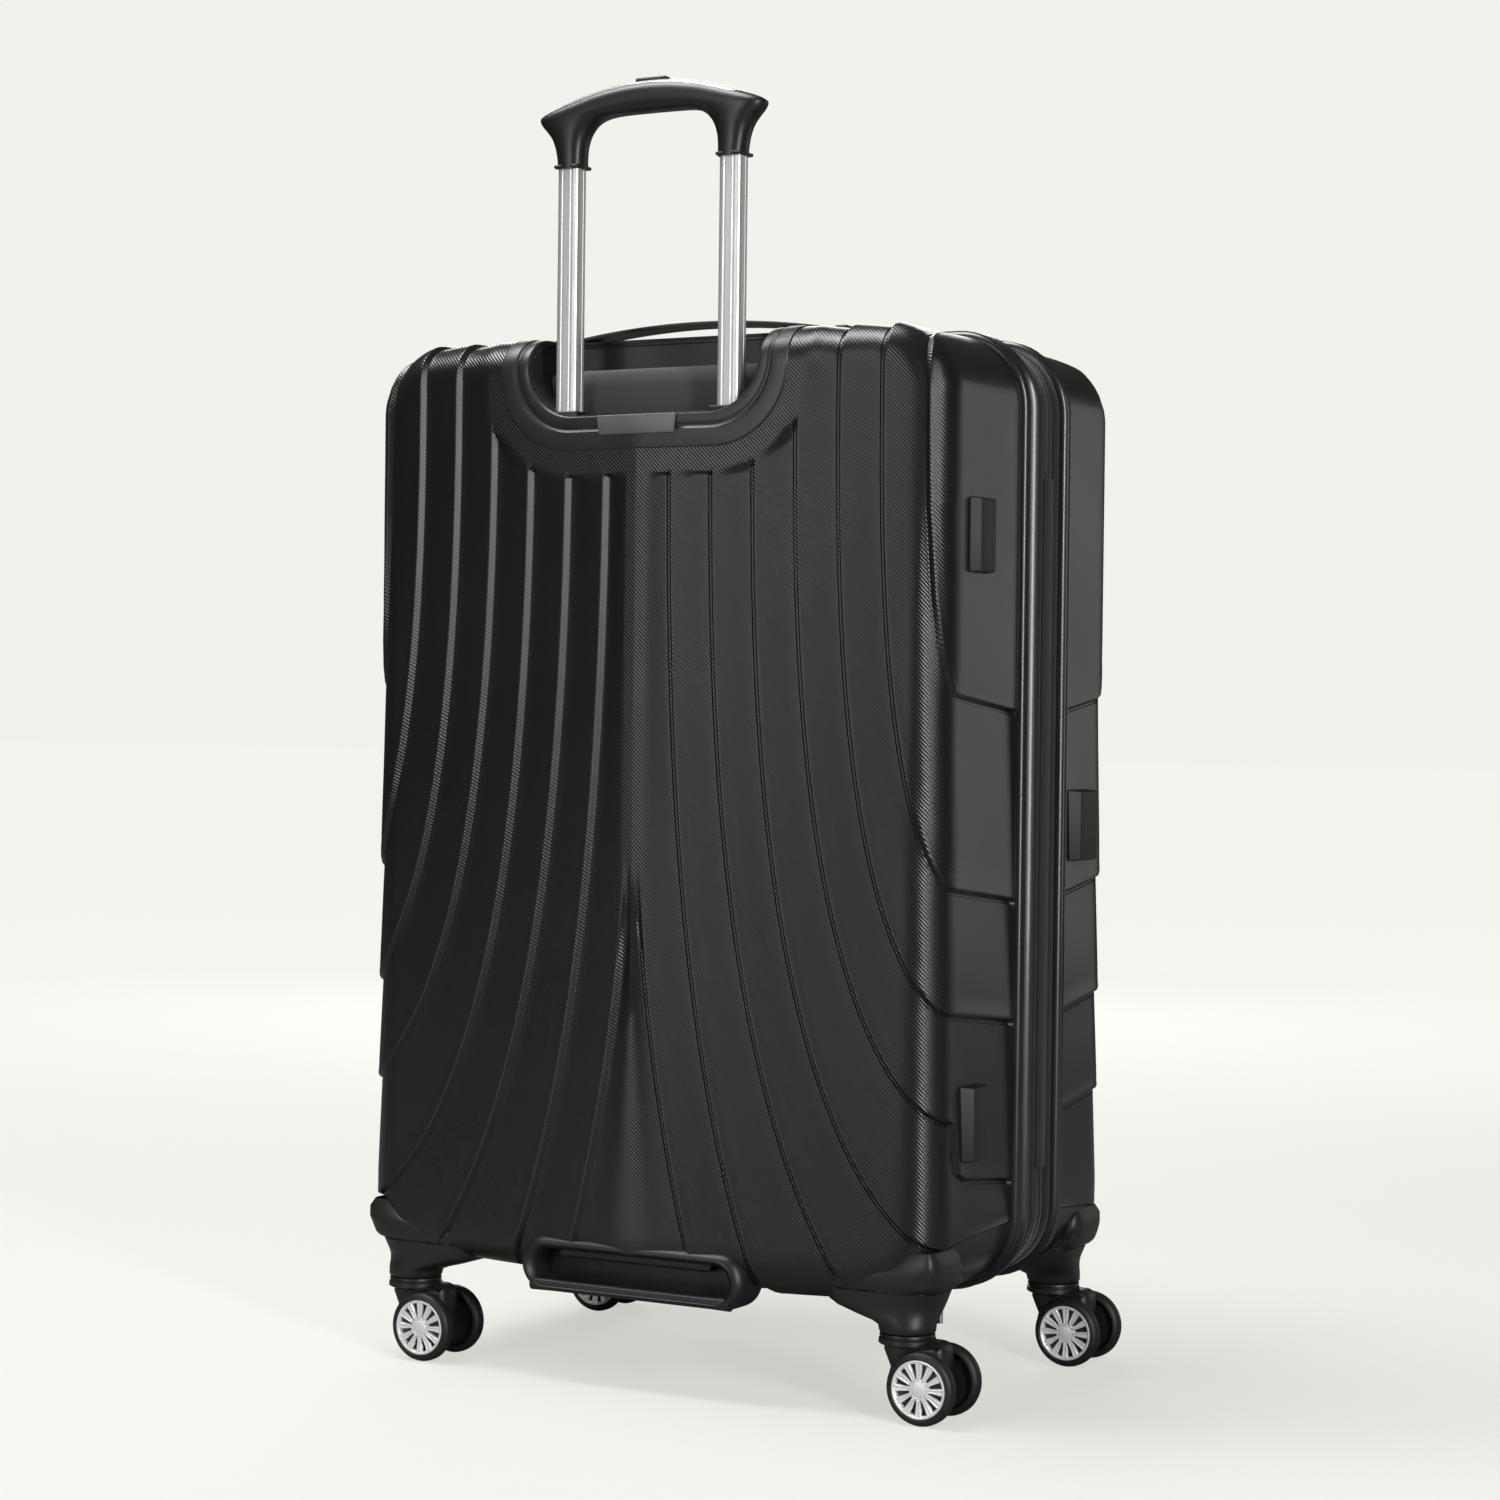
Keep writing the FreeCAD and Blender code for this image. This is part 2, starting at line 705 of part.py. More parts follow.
# handle cup: a tub that is open at the top and the back, with a bezel round its mouth
tub = slab(
    "cup_tub", "XY_Plane", (-d.cup_half_w - d.cup_wall, d.cup_half_w + d.cup_wall),
    (d.cup_y - d.cup_wall, behind_shell), (d.cup_floor - d.cup_wall, above_shell), d.cup_r + d.cup_wall,
)
bezel = slab(
    "cup_bezel", "XZ_Plane", (-d.bezel_half_w, d.bezel_half_w), (d.bezel_y - d.bezel_deep, d.bezel_y),
    (d.bezel_low, above_shell), d.bezel_r,
)
cup_limits = slab(
    "cup_limits", "YZ_Plane", (-d.bezel_half_w - PAST, d.bezel_half_w + PAST),
    (d.cup_y - d.bezel_r, d.bezel_y), (d.bezel_low - d.bezel_r, d.shell_high), d.edge_fillet,
)
cup_hollow = slab(
    "cup_hollow", "XY_Plane", (-d.cup_half_w, d.cup_half_w), (d.cup_y, behind_shell),
    (d.cup_floor, above_shell), d.cup_r,
)


def tube_spans(side, wide, deep):
    """Spans across and deep of a rectangle about one handle tube's axis."""
    x = d.tube_x * side
    return (x - wide * 0.5, x + wide * 0.5), (d.tube_y - deep * 0.5, d.tube_y + deep * 0.5)


floor_holes = []
for side in SIDES:
    x, y = tube_spans(side, d.outer_tube_w + d.hole_play, d.outer_tube_d + d.hole_play)
    hole_z = (d.bezel_low - PAST, d.cup_floor + PAST)
    floor_holes.append(slab(f"floor_hole_{SIDE_TAGS[side]}", "XY_Plane", x, y, hole_z, d.outer_tube_r))
plate_y = (d.bezel_y - d.plate_sunk, d.bezel_y + d.plate_proud)
plate_spans = ((-d.plate_half_w, d.plate_half_w), plate_y, (d.plate_low, d.plate_high))
plate_seat = block("plate_seat", *plate_spans)
cup_solid = shared("cup_solid", [joined("cup_body", [tub, bezel]), cup_limits])
node(cut("handle_cup", cup_solid, [cup_hollow, plate_seat] + floor_holes), "handle_cup")
node(slab("nameplate", "XZ_Plane", *plate_spans, d.plate_corner), "nameplate")

# fixed outer tubes of the handle and the bracket that holds their feet
outer_tubes = []
inner_tubes = []
lock_pins = []
for side in SIDES:
    tag = SIDE_TAGS[side]
    x, y = tube_spans(side, d.outer_tube_w, d.outer_tube_d)
    outside = slab(f"outer_tube_{tag}", "XY_Plane", x, y, (d.outer_low, d.cup_floor), d.outer_tube_r)
    x, y = tube_spans(side, d.tube_w + d.bore_play, d.tube_d + d.bore_play)
    bore_z = (d.outer_low - PAST, d.cup_floor + PAST)
    inside = slab(f"outer_bore_{tag}", "XY_Plane", x, y, bore_z, d.tube_r)
    outer_tubes.append(cut(f"outer_tube_{tag}_cut", outside, [inside]))
    x, y = tube_spans(side, d.tube_w, d.tube_d)
    solid = slab(f"inner_tube_{tag}", "XY_Plane", x, y, (d.inner_low, d.inner_high), d.tube_r)
    x, y = tube_spans(side, d.tube_w - d.tube_wall * 2, d.tube_d - d.tube_wall * 2)
    hollow_z = (d.inner_low - PAST, d.inner_high + PAST)
    hollow = slab(f"inner_bore_{tag}", "XY_Plane", x, y, hollow_z, d.tube_r - d.tube_wall)
    inner_tubes.append(cut(f"inner_tube_{tag}_cut", solid, [hollow]))
    half_pin = d.tube_w * 0.5 - d.tube_wall - d.pin_short
    middle = d.tube_x * side
    pin_x = (middle - half_pin, middle + half_pin)
    lock_pins.append(round_bar(f"lock_pin_{tag}", "X", d.pin_r, pin_x, y=d.tube_y, z=d.pin_z))
node(loose("outer_tubes", outer_tubes), "outer_tubes")
bracket_half = d.tube_x + d.outer_tube_w * 0.5 + d.bracket_edge
node(
    slab(
        "tube_foot_bracket", "XZ_Plane", (-bracket_half, bracket_half),
        (d.tube_y - d.bracket_half_deep, d.tube_y + d.bracket_half_deep),
        (d.foot_grip_high, d.outer_low), d.bracket_corner,
    ),
    "tube_foot_bracket",
)

# bottom grip: a finger pocket open at the bottom, with a bar across its back
grip_block = slab(
    "bottom_grip_block", "YZ_Plane", (-d.foot_grip_half_w, d.foot_grip_half_w),
    (d.foot_grip_y, d.bezel_y), (d.foot_grip_low, d.foot_grip_high), d.foot_grip_corner,
)
pocket_back = d.bezel_y - d.bar_deep
pocket = block(
    "bottom_pocket", (-d.pocket_half_w, d.pocket_half_w), (d.foot_grip_y + d.pocket_wall, pocket_back),
    (d.foot_grip_low - PAST, d.pocket_high),
)
window = block(
    "bottom_window", (-d.pocket_half_w, d.pocket_half_w), (pocket_back - PAST, d.bezel_y + PAST),
    (d.window_low, d.window_high),
)
node(cut("bottom_grip", grip_block, [pocket, window]), "bottom_grip")

node(
    loose(
        "side_feet_back",
        [
            side_foot("foot_upper", d.foot_y, d.foot_w, d.foot_upper_z),
            side_foot("foot_lower", d.foot_y, d.foot_w, d.foot_lower_z),
        ],
    ),
    "side_feet_back",
)


def lining(label, mouth_y, far_y, side, notch=None):
    """A cloth tray inside a shell, with room left for the handle cup where there is one."""
    def tray(name, inset, mouth):
        half = d.lining_half_w - inset
        z = (d.lining_low + inset, d.lining_high - inset)
        y = (mouth, far_y - side * inset)
        solid = slab(name, "XZ_Plane", (-half, half), y, z, d.lining_corner - inset)
        if notch is None:
            return solid
        room = d.cup_room + inset
        hole = block(
            f"{name}_notch", (-d.cup_half_w - room, d.cup_half_w + room),
            (d.cup_y - room, d.bezel_y + PAST), (d.cup_floor - room, d.shell_high + PAST),
        )
        return cut(f"{name}_cut", solid, [hole])
    outside = tray(f"{label}_outside", as_dim(0), mouth_y)
    inside = tray(f"{label}_inside", d.cloth, mouth_y - side * PAST)
    return node(cut(label, outside, [inside]), label)


lining("back_lining", d.back_rim_y + d.mouth_step, d.lining_back_y, 1, notch=True)

# packing straps that lie on the floor of the lining, each with its buckle
strap_far = d.lining_back_y - d.cloth
strap_half = d.lining_half_w - d.cloth
straps = []
for tag, z in (("lower", d.strap_lower_z), ("upper", d.strap_upper_z)):
    half = d.strap_w * 0.5
    web_y = (strap_far - d.strap_thick, strap_far)
    web = block(f"strap_{tag}", (-strap_half, strap_half), web_y, (z - half, z + half))
    buckle = slab(
        f"buckle_{tag}", "XZ_Plane", (-d.buckle_half_w, d.buckle_half_w),
        (strap_far - d.buckle_deep, strap_far - d.strap_thick * 0.5),
        (z - half - d.buckle_edge, z + half + d.buckle_edge), d.buckle_edge,
    )
    straps.append(joined(f"strap_{tag}_made", [web, buckle]))
node(loose("packing_straps", straps), "packing_straps")

# expansion zipper's fixed half, between the back frame and the moving band
node(
    outline_ring("expansion_zipper", 0, d.tape_thick, (d.expansion_y + d.travel_gap, d.back_frame_y)),
    "expansion_zipper",
)

carry_handle("top")
carry_handle("side")
caster_housings("caster_housings_back", back_volume, 1)

# screws that hold the back casters' housings, driven from inside the shell
# where each screw stands from its caster's swivel axis
SCREW_STEPS = ((-14, -20), (16, -20), (-14, 4))
screws = []
for side_x in SIDES:
    for number, (step_x, step_y) in enumerate(SCREW_STEPS):
        tag = f"screw_{SIDE_TAGS[side_x]}_{number}"
        x = (d.caster_x + step_x) * side_x
        y = d.caster_y + step_y
        inside_z = d.shell_low + d.wall
        head_z = (inside_z, inside_z + d.screw_head_tall)
        shank_z = (d.housing_low + d.screw_step, inside_z + d.screw_head_tall * 0.5)
        head = round_bar(f"{tag}_head", "Z", d.screw_head_r, head_z, x=x, y=y)
        shank = round_bar(f"{tag}_shank", "Z", d.screw_r, shank_z, x=x, y=y)
        screws.append(joined(tag, [head, shank]))
node(loose("shell_screws", screws), "shell_screws")


# ---------------------------------------------------------------- the handle

half_depth = d.grip_depth * 0.5
grip_y = (d.tube_y - half_depth, d.tube_y + half_depth)
past_grip = (d.tube_y - half_depth - PAST, d.tube_y + half_depth + PAST)
arc_z = d.grip_top - d.grip_arc_r


def arched(name, half_w, y, low, radius):
    """A block whose top follows the grip's arc at the given radius."""
    return shared(
        name,
        [
            block(f"{name}_block", (-half_w, half_w), y, (low, d.grip_top + PAST)),
            round_bar(f"{name}_arc", "Y", radius, y, z=arc_z),
        ],
    )


grip_solid = arched("grip_solid", d.grip_half_w, grip_y, d.grip_low, d.grip_arc_r)
sleeve_in = d.tube_x - d.sleeve_half_w
sleeve_out = d.tube_x + d.sleeve_half_w
below_grip = d.grip_low - d.arch_corner * 2
arch_z = (below_grip, d.grip_under)
grip_tools = [slab("grip_arch", "XZ_Plane", (-sleeve_in, sleeve_in), past_grip, arch_z, d.arch_corner)]
panel_y = (d.tube_y - d.panel_half_deep, d.tube_y + d.panel_half_deep)
panel_blank = arched("panel_blank", d.panel_half_w, panel_y, d.grip_low + PAST, d.grip_arc_r)
panel_under = round_bar("panel_under", "Y", d.grip_arc_r - d.panel_thick, past_grip, z=arc_z)
panel_seat = cut("panel_seat", panel_blank, [panel_under])
crossbar_top = d.crossbar_low + d.crossbar_thick
button_hole = slab(
    "button_hole", "XY_Plane", (-d.button_half_l - d.button_play, d.button_half_l + d.button_play),
    (d.tube_y - d.button_half_w - d.button_play, d.tube_y + d.button_half_w + d.button_play),
    (crossbar_top - d.button_travel - d.button_play, d.button_top + PAST), d.button_half_w,
)
hollow = block(
    "grip_hollow", (-d.tube_x - d.hollow_edge, d.tube_x + d.hollow_edge),
    (d.tube_y - d.shaft_half, d.tube_y + d.shaft_half),
    (d.grip_under + d.grip_skin, d.crossbar_low + d.crossbar_thick + d.crossbar_gap),
)
grip_tools += [panel_seat, button_hole, hollow]
for side in SIDES:
    tag = SIDE_TAGS[side]
    flank_x = (sleeve_out * side, (sleeve_out + d.grip_half_w) * side)
    flank_z = (below_grip, d.horn_low)
    grip_tools.append(slab(f"grip_flank_{tag}", "XZ_Plane", flank_x, past_grip, flank_z, d.flank_corner))
    x, y = tube_spans(side, d.tube_w, d.tube_d)
    socket_z = (d.grip_low - PAST, d.inner_high)
    grip_tools.append(slab(f"grip_socket_{tag}", "XY_Plane", x, y, socket_z, d.tube_r))
    shaft_x, shaft_y = tube_spans(side, d.shaft_half * 2, d.shaft_half * 2)
    shaft_z = (d.inner_high - PAST, d.crossbar_low)
    grip_tools.append(block(f"grip_shaft_{tag}", shaft_x, shaft_y, shaft_z))
node(cut("handle_grip", grip_solid, grip_tools), "handle_grip")
node(cut("grip_top_panel", panel_seat, [button_hole]), "grip_top_panel")
node(loose("inner_tubes", inner_tubes), "inner_tubes")
node(loose("lock_pins", lock_pins), "lock_pins")

node(
    slab(
        "release_button", "XY_Plane", (-d.button_half_l, d.button_half_l),
        (d.tube_y - d.button_half_w, d.tube_y + d.button_half_w), (crossbar_top, d.button_top),
        d.button_half_w - d.button_play * 0.25,
    ),
    "release_button",
)
crossbar_x = (-d.tube_x - d.crossbar_edge, d.tube_x + d.crossbar_edge)
crossbar_y = (d.tube_y - d.crossbar_half_deep, d.tube_y + d.crossbar_half_deep)
rods = [block("crossbar", crossbar_x, crossbar_y, (d.crossbar_low, crossbar_top))]
rod_z = (d.pin_z + d.pin_r + d.button_travel + d.rod_gap, crossbar_top - d.crossbar_thick * 0.5)
for side in SIDES:
    rods.append(round_bar(f"rod_{SIDE_TAGS[side]}", "Z", d.rod_r, rod_z, x=d.tube_x * side, y=d.tube_y))
node(joined("push_rods", rods), "push_rods")


# ---------------------------------------------------------------- the expansion band

half_gap = d.travel_gap * 0.5
hinge_box = block(
    "hinge_box", (-d.shell_half_w - PAST, -d.shell_half_w + d.tape_thick + PAST),
    (d.zip_y - PAST, d.expansion_y + PAST), (d.hinge_low, d.hinge_high),
)
moving_band = outline_ring(
    "moving_band", 0, d.tape_thick, (d.zip_y + half_gap, d.expansion_y - d.travel_gap)
)
node(cut("main_zipper_back_half", moving_band, [hinge_box]), "main_zipper_back_half")
node(
    block(
        "hinge_tape", (-d.shell_half_w, -d.shell_half_w + d.tape_thick),
        (d.zip_y + half_gap, d.expansion_y - d.travel_gap), (d.hinge_low, d.hinge_high),
    ),
    "hinge_tape",
)
sleeve = outline_ring(
    "gusset_sleeve", d.sleeve_inset, d.sleeve_inset + d.sleeve_thick,
    (d.zip_y + d.web_step, d.sleeve_back_y),
)
web = outline_ring(
    "gusset_web", d.tape_thick, d.sleeve_inset + d.sleeve_thick,
    (d.zip_y + d.web_step, d.zip_y + d.web_step + d.web_thick),
)
node(joined("expansion_gusset", [sleeve, web]), "expansion_gusset")


# ---------------------------------------------------------------- the lid

front_volume = half_shell_volume("front_volume", 0, d.lid_rim_y, -1)
front_inside = half_shell_volume("front_inside", d.wall, d.lid_rim_y + 1, -1)
node(cut("front_shell", front_volume, [front_inside]), "front_shell")
frame("front_frame", d.lid_rim_y, d.lid_frame_y, -1)
node(
    outline_ring("main_zipper_front_half", 0, d.tape_thick, (d.lid_frame_y, d.zip_y - half_gap)),
    "main_zipper_front_half",
)
lining("front_lining", d.lid_rim_y - d.lip - d.lid_mouth_step, d.lining_lid_y, -1)
node(side_foot("side_foot_front", d.lid_foot_y, d.lid_foot_w, d.lid_foot_z), "side_foot_front")
caster_housings("caster_housings_front", front_volume, -1)

# combination lock on the lid's frame, with three dials and a release button
lock_block = slab(
    "lock_block", "YZ_Plane", (d.shell_half_w + d.lip_gap, d.lock_out_x), (d.lock_in_y, d.lock_out_y),
    (d.lock_low, d.lock_high), d.lock_corner,
)
frame_room_y = (d.lid_rim_y - d.lip_gap, d.lid_frame_y + d.lip_gap)
lock_tools = [outline_slab("lock_frame_room", -d.bead, frame_room_y)]
for number in range(3):
    tag = f"lock_dial_{number + 1}"
    z = d.dial_first_z + d.dial_pitch * number
    half = d.dial_tall * 0.5
    room_z = (z - half - d.dial_play, z + half + d.dial_play)
    room = round_bar(f"{tag}_room", "Z", d.dial_r + d.dial_play, room_z, x=d.dial_x, y=d.dial_y)
    lock_tools.append(room)
    node(round_bar(tag, "Z", d.dial_r, (z - half, z + half), x=d.dial_x, y=d.dial_y), tag)
release_z = (d.release_low, d.release_low + d.release_tall)
release_y = (d.release_in_y, d.release_in_y + d.release_tall)
room_x = (d.lock_out_x - PAST, d.lock_out_x + PAST)
room_y = (release_y[0] - d.dial_play, release_y[1] + d.dial_play)
room_z = (release_z[0] - d.dial_play, release_z[1] + d.dial_play)
lock_tools.append(block("release_room", room_x, room_y, room_z))
node(cut("lock_body", lock_block, lock_tools), "lock_body")
release_x = (d.lock_out_x - d.release_sunk, d.lock_out_x + d.release_proud)
node(slab("lock_release", "YZ_Plane", release_x, release_y, release_z, d.release_sunk), "lock_release")


def slider(tag, z):
    """A slider over the two zipper halves, with two cheeks and the pin that its pull hangs from."""
    y = (d.zip_y - d.slider_half_deep, d.zip_y + d.slider_half_deep)
    base_x = (d.shell_half_w + d.seat_gap, d.pull_x - d.release_sunk)
    base_z = (z - d.slider_half, z + d.slider_half)
    base = slab(f"slider_{tag}_body", "YZ_Plane", base_x, y, base_z, d.pull_corner)
    cheek_x = (base_x[1] - d.cheek_thick, d.pull_x + d.pull_eye_r)
    cheek_z = (z - d.pull_eye_r, z + d.pull_eye_r)
    near = block(f"slider_{tag}_near", cheek_x, (y[0], y[0] + d.cheek_thick), cheek_z)
    far = block(f"slider_{tag}_far", cheek_x, (y[1] - d.cheek_thick, y[1]), cheek_z)
    pin = round_bar(f"slider_{tag}_pin", "Y", d.pull_pin_r, y, x=d.pull_x, z=z)
    return joined(f"slider_{tag}", [base, near, far, pin])


def zip_pull(tag, z):
    """The tab that hangs from a slider's pin."""
    y = (d.zip_y - d.pull_half_w, d.zip_y + d.pull_half_w)
    tab_x = (d.pull_x - d.pull_pin_r, d.pull_x + d.pull_pin_r)
    tab = slab(f"pull_{tag}_tab", "YZ_Plane", tab_x, y, (z - d.pull_long, z), d.pull_corner)
    eye = round_bar(f"pull_{tag}_eye", "Y", d.pull_eye_r, y, x=d.pull_x, z=z)
    bore_y = (y[0] - PAST, y[1] + PAST)
    bore = round_bar(f"pull_{tag}_bore", "Y", d.pull_pin_r + d.pull_play, bore_y, x=d.pull_x, z=z)
    pull = cut(f"zip_pull_{tag}", joined(f"pull_{tag}_solid", [tab, eye]), [bore])
    return node(pull, f"zip_pull_{tag}")


sliders = []
for tag, z in (("upper", d.slider_upper_z), ("lower", d.slider_lower_z)):
    sliders.append(slider(tag, z))
    zip_pull(tag, z)
node(loose("zip_sliders", sliders), "zip_sliders")

for place_name, (side_x, side_y) in CASTERS.items():
    caster(place_name, side_x, side_y)


# ---------------------------------------------------------------- check and write

doc.recompute()
for thing in doc.Objects:
    if "Invalid" in thing.State or "Error" in thing.State:
        raise RuntimeError(f"{thing.Label} is in state {thing.State}")
names = [thing.Label for thing in NODES]
if len(names) != len(set(names)):
    raise RuntimeError("two sub-parts share a name")
os.makedirs("parts", exist_ok=True)
for thing in NODES:
    shape = thing.Shape
    if shape.isNull() or not shape.isValid() or shape.Volume <= 0:
        raise RuntimeError(f"{thing.Label} has no valid shape")
    shape.exportStep(f"parts/{thing.Label}.step")
    print(f"{thing.Label}: {len(shape.Solids)} solids, {shape.Volume / 1000:.1f} cm3")
print(f"{len(NODES)} sub-parts written")
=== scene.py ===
"""A large hard-shell travel case on four twin-wheel casters, finished around its fixed frame.

Sizes inside the classes are millimetres in the frame's own axes: +Z up, the handle on +Y, the
lid on -Y. Every mesh is turned into metres once, when its piece is made.
"""
import sys
import json
import logging
import math
from dataclasses import dataclass
from enum import Enum
from typing import Callable, Iterable, Sequence

import bmesh
import bpy
from bmesh.types import BMesh
from bpy.types import Material, Node, NodeSocket, Object
from mathutils import Matrix, Vector


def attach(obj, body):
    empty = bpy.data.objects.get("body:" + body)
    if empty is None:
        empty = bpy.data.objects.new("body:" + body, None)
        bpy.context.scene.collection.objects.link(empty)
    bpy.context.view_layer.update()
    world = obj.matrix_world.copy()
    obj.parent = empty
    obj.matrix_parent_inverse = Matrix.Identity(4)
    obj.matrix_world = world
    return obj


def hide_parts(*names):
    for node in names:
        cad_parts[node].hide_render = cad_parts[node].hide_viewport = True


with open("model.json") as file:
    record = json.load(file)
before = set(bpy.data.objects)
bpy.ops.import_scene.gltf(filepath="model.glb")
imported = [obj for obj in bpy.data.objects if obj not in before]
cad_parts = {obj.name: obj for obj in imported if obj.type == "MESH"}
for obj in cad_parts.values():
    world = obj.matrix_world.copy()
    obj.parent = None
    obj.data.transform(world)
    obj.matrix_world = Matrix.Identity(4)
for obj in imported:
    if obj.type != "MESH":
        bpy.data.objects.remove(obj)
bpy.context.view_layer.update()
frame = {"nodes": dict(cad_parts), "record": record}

LOG = logging.getLogger("travel_case")
MM = 0.001
SIDES = (-1, 1)
FULL_TURN = 2 * math.pi
WELD = 0.001
Pair = tuple[float, float]
Triple = tuple[float, float, float]


# ------------------------------------------------------------------ finishes

class Slot(Enum):
    """The material slots of the record."""

    SHELL = "shell"
    FRAME_TRIM = "frame_trim"
    BEZEL = "bezel"
    PLATE = "plate"
    ALUMINIUM = "aluminium"
    BLACK_PLASTIC = "black_plastic"
    LINING = "lining"
    WEBBING = "webbing"
    ZIP_TAPE = "zip_tape"
    GUSSET = "gusset"
    SOFT_RUBBER = "soft_rubber"
    STEEL = "steel"
    SATIN_GRIP = "satin_grip"
    SILVER_PANEL = "silver_panel"
    DARK_METAL = "dark_metal"
    TYRE = "tyre"
    SILVER_HUB = "silver_hub"
    BLACK_WHEEL = "black_wheel"


class Wiring:
    """The node tree of one material, with short calls that add and join its nodes."""

    def __init__(self, name: str) -> None:
        """Starts a material with one shader.

        Args:
            name: what the material is called.
        """
        self.material: Material = bpy.data.materials.new(name)
        self.material.use_nodes = True
        self.tree = self.material.node_tree
        self.shader: Node = self.tree.nodes["Principled BSDF"]

    def add(self, kind: str, inputs: dict[str | int, object] | None = None, **settings: object) -> Node:
        """Adds a node.

        Args:
            kind: the node's type name, without its ShaderNode prefix.
            inputs: numbers, colours or sockets for its inputs.
            settings: the node's own options.

        Returns:
            The new node.
        """
        node = self.tree.nodes.new(f"ShaderNode{kind}")
        for option, choice in settings.items():
            setattr(node, option, choice)
        for key, source in (inputs or {}).items():
            if isinstance(source, NodeSocket):
                self.tree.links.new(source, node.inputs[key])
            else:
                node.inputs[key].default_value = source
        return node

    def number(self, operation: str, first: object, second: object = 0.0) -> NodeSocket:
        """Works out one number from two.

        Args:
            operation: the Math node's operation.
            first: a socket or a number.
            second: a socket or a number.

        Returns:
            The socket of the result.
        """
        return self.add("Math", {0: first, 1: second}, operation=operation).outputs[0]

    def place(self, scale: Sequence[float] = (1, 1, 1), uv: bool = False) -> NodeSocket:
        """The coordinates that a pattern reads.

        Args:
            scale: how much each axis is multiplied.
            uv: whether the pattern follows the piece's own UV map.

        Returns:
            The socket of the coordinates.
        """
        source = self.add("TexCoord").outputs["UV" if uv else "Object"]
        return self.add("Mapping", {"Vector": source, "Scale": scale}).outputs[0]

    def noise(self, where: NodeSocket, size_mm: float, detail: float = 3.0) -> NodeSocket:
        """A cloudy pattern from 0 to 1.

        Args:
            where: its coordinates.
            size_mm: the size of its clouds.
            detail: how many finer layers it has.

        Returns:
            The socket of the pattern.
        """
        inputs = {"Vector": where, "Scale": 1.0 / (size_mm * MM), "Detail": detail}
        return self.add("TexNoise", inputs).outputs["Fac"]

    def remap(self, source: NodeSocket, low: float, high: float, span: Pair = (0.0, 1.0)) -> NodeSocket:
        """Stretches a pattern to other end values.

        Args:
            source: the pattern.
            low: what its low end becomes.
            high: what its high end becomes.
            span: the pattern's own two ends.

        Returns:
            The socket of the result.
        """
        inputs = {0: source, 1: span[0], 2: span[1], 3: low, 4: high}
        return self.add("MapRange", inputs).outputs[0]

    def waves(self, axes: Sequence[int], pitch_mm: float, operation: str) -> list[NodeSocket]:
        """Even waves along some axes of the piece.

        Args:
            axes: the axes, 0 for X to 2 for Z.
            pitch_mm: the length of a wave.
            operation: the Math node's operation that makes the wave.

        Returns:
            The socket of each wave.
        """
        split = self.add("SeparateXYZ", {0: self.place()})
        pace = FULL_TURN / (pitch_mm * MM)
        return [self.number(operation, self.number("MULTIPLY", split.outputs[axis], pace)) for axis in axes]

    def ramp(
        self, factor: NodeSocket, low: Sequence[float], high: Sequence[float], span: Pair = (0.3, 0.7),
    ) -> NodeSocket:
        """Two colours blended by a pattern.

        Args:
            factor: the pattern.
            low: the colour at its low end.
            high: the colour at its high end.
            span: where the pattern leaves one and reaches the other.

        Returns:
            The socket of the colour.
        """
        node = self.add("ValToRGB", {0: factor})
        for element, at, colour in zip(node.color_ramp.elements, span, (low, high)):
            element.position = at
            element.color = (*colour, 1.0)
        return node.outputs[0]

    def bump(self, height: NodeSocket, depth_mm: float, under: NodeSocket | None = None) -> NodeSocket:
        """Raises a pattern out of the surface.

        Args:
            height: the pattern.
            depth_mm: how deep it is.
            under: another bump below it.

        Returns:
            The socket of the normal.
        """
        inputs: dict[str | int, object] = {"Height": height, "Distance": depth_mm * MM, "Strength": 1.0}
        if under is not None:
            inputs["Normal"] = under
        return self.add("Bump", inputs).outputs[0]

    def drive(self, **sockets: object) -> None:
        """Sets or joins the shader's inputs.

        Args:
            sockets: input names, with _ for a space, and what each one gets.
        """
        for key, source in sockets.items():
            socket = self.shader.inputs[key.replace("_", " ")]
            if isinstance(source, NodeSocket):
                self.tree.links.new(source, socket)
            else:
                socket.default_value = source


def tint(colour: Sequence[float], gain: float) -> tuple[float, ...]:
    """A colour made lighter or darker."""
    return tuple(min(1.0, channel * gain) for channel in colour)


@dataclass(frozen=True)
class Moulded:
    """A moulded plastic or rubber, with a fine grain and faint uneven gloss."""

    slot: Slot
    colour: Triple = (0.012, 0.012, 0.0125)
    roughness: float = 0.42
    grain_mm: float = 0.9
    grain_depth_mm: float = 0.03
    coat: float = 0.0
    coat_roughness: float = 0.12
    cloud_mm: float = 55.0

    def build(self) -> Material:
        """Makes the material."""
        w = Wiring(f"moulded_{self.slot.value}")
        cloud = w.noise(w.place(), self.cloud_mm)
        grain = w.noise(w.place(), self.grain_mm, 2.0)
        w.drive(
            Base_Color=w.ramp(cloud, tint(self.colour, 0.8), tint(self.colour, 1.25)),
            Roughness=w.remap(cloud, self.roughness - 0.05, self.roughness + 0.06),
            Normal=w.bump(grain, self.grain_depth_mm),
            Coat_Weight=self.coat,
            Coat_Roughness=self.coat_roughness,
        )
        return w.material


